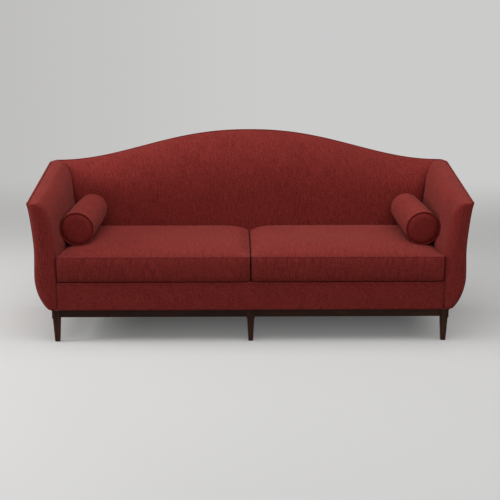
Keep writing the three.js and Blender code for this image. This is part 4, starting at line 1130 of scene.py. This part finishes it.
def cushion_shell():
    """Top, boxing and bottom of the right cushion as three grids that meet at the seams, each
    with its painted shade: darkest along the top's sewn edge, softer at the foot, and painted
    lighter at the corners."""
    half_width, half_depth, boxing_rise = 0.475, 0.316, 0.125
    u, v = closer_at_ends(105), closer_at_ends(73)
    uu, vv = np.meshgrid(u, v)
    x, depth = cushion_plan(uu, vv)
    top = np.stack([x, depth + seat_front, cushion_top(uu, vv, x, depth)], -1)
    bottom = np.stack([x, depth + seat_front, np.full(x.shape, cushion_foot)], -1)
    inside = (1 - np.abs(uu) ** 30) * (1 - np.abs(vv) ** 30)
    bottom[..., 2] = cushion_foot + 0.002 * (1 - inside)
    loop_u = np.concatenate([u[:-1], np.ones(len(v) - 1), u[:0:-1], -np.ones(len(v) - 1)])
    loop_v = np.concatenate([-np.ones(len(u) - 1), v[:-1], np.ones(len(u) - 1), v[:0:-1]])
    rim = np.concatenate([top[0, :-1], top[:-1, -1], top[-1, :0:-1], top[:0:-1, 0]])
    foot = np.concatenate([bottom[0, :-1], bottom[:-1, -1], bottom[-1, :0:-1], bottom[:0:-1, 0]])
    up = (0.5 - 0.5 * np.cos(np.linspace(0, math.pi, 25)))[:, None, None]
    box = foot[None] + (rim - foot)[None] * up
    full = 1 - np.abs(2 * up[..., 0] - 1) ** 3.2
    front = np.clip(-loop_v, 0, 1) ** 24
    rear = np.clip(loop_v, 0, 1) ** 24
    gap_side, arm_side = np.clip(-loop_u, 0, 1) ** 24, np.clip(loop_u, 0, 1) ** 24
    box[..., 1] += full * (-0.0050 * front * (1 - 0.3 * gap_side - 0.3 * arm_side))
    box[..., 1] -= full * (rim[:, 1] - (zip_plane - 0.0006))[None] * rear * (
        1 - np.maximum(gap_side, arm_side))
    box[..., 0] += full * (0.0016 * arm_side - 0.0008 * gap_side)
    rise = up[..., 0] * boxing_rise
    from_corner = np.minimum((1 - np.abs(loop_u)) * half_width + 9.0 * (np.abs(loop_v) < 1),
                             (1 - np.abs(loop_v)) * half_depth + 9.0 * (np.abs(loop_u) < 1))
    # Painted shade on the boxing: darkest in the groove along its top, softer at the foot and over
    # its lower 35 mm, and painted light within 6 mm of the corners.
    sewn = 1.4 * np.clip(1 - (boxing_rise - rise) / 0.005, 0, 1)
    sewn = sewn + 0.8 * np.clip(1 - rise / 0.006, 0, 1)
    sewn = sewn + 0.45 * np.clip(1 - rise / 0.035, 0, 1) ** 1.5
    sewn = sewn - 0.5 * np.clip(1 - from_corner / 0.006, 0, 1)[None] * (sewn < 0.3)
    # Painted shade on the top: darker within 5 mm of its front and inner edges, and over its front
    # 60 mm where it rolls down.
    to_edge = np.minimum(half_width * (1 - np.abs(uu)) + 0.04 * (uu > 0), half_depth * (1 + vv))
    painted_top_shade = 0.6 * np.clip(1 - to_edge / 0.005, 0, 1) + 0.55 * np.clip(
        1 - half_depth * (1 + vv) / 0.060, 0, 1) ** 1.5
    return (top, painted_top_shade), (box, sewn), (bottom, 0 * painted_top_shade)


panels = cushion_shell()
for side in ("right", "left"):
    parts = []
    for which, (points, seam) in zip(("top", "boxing", "bottom"), panels):
        if (side == "left") != (which == "bottom"):
            points, seam = points[:, ::-1], seam[:, ::-1]
        parts.append(surface(
            "cushion_" + which, points * [1 if side == "right" else -1, 1, 1],
            closed_across=which == "boxing", seam=seam,
            scale_uv=(1.0, 1.0) if which == "boxing" else (1.0, 0.70)))
    cushion = welded(f"boxed_cushion_{side}", *parts)
    turn_outward(cushion)
    cushion.data.materials.append(cover_cloth)
    across, depth, height = read(cushion.data.vertices, "co", 3).T - np.array(
        [[0], [seat_front], [0]])
    # The cover is loose on the top, short of the bolster and the rear, and on the front boxing.
    seam_line = np.abs(height - seat_edge) < 0.0005
    share, axis_x, axis_z = bolster_line(depth)
    pressed = (np.hypot(np.abs(across) - axis_x, height - axis_z) < bolster_radius + 0.006) & (
        share > -0.03)
    loose = (height > seat_edge + 0.002) & (depth < 0.60) & ~pressed
    loose |= (depth < 0.03) & (height > cushion_foot + 0.004) & ~seam_line
    filled(cushion, ~loose, 0.004)
    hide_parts(f"seat_cushion_{side}")
    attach(cushion, f"{side}_cushion")

# Cushion zips
# A long zip is sewn in each rear boxing. Its cloth tape and coil keep the CAD's shape, and its
# slider is nickel-plated.
zip_tape, tree = new_material("zip_tape")
spot = node(tree, "SeparateXYZ", {"Vector": node(tree, "TexCoord").outputs["Object"]})
coil_pitch, coil_half = 0.0016, 0.0028
coil = calculated(tree, "SINE", calculated(
    tree, "MULTIPLY", spot.outputs["X"], 2 * math.pi / coil_pitch))
zip_low, zip_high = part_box("cushion_zip_left")
from_middle = calculated(tree, "ABSOLUTE", calculated(
    tree, "SUBTRACT", spot.outputs["Z"], (zip_low.z + zip_high.z) / 2))
teeth = scaled(tree, from_middle, coil_half - 0.0002, coil_half + 0.0002, 1.0, 0.0)
close_material(
    tree, Base_Color=mixed(tree, teeth, (0.070, 0.014, 0.012), (0.16, 0.035, 0.03)),
    Roughness=0.6, Normal=bumped(tree, calculated(tree, "MULTIPLY", coil, teeth), 0.8, 0.0006))
zip_metal, tree = new_material("zip_metal")
rub = fine_noise(tree, 700.0, 3.0)
close_material(
    tree, Base_Color=toned(tree, rub, (0.42, 0.40, 0.37), (0.68, 0.66, 0.62)), Metallic=1.0,
    Roughness=scaled(tree, rub, 0, 1, 0.2, 0.42))
for side in ("left", "right"):
    reshade(f"cushion_zip_{side}", zip_tape)
    reshade(f"zip_slider_{side}", zip_metal)

bpy.context.view_layer.update()
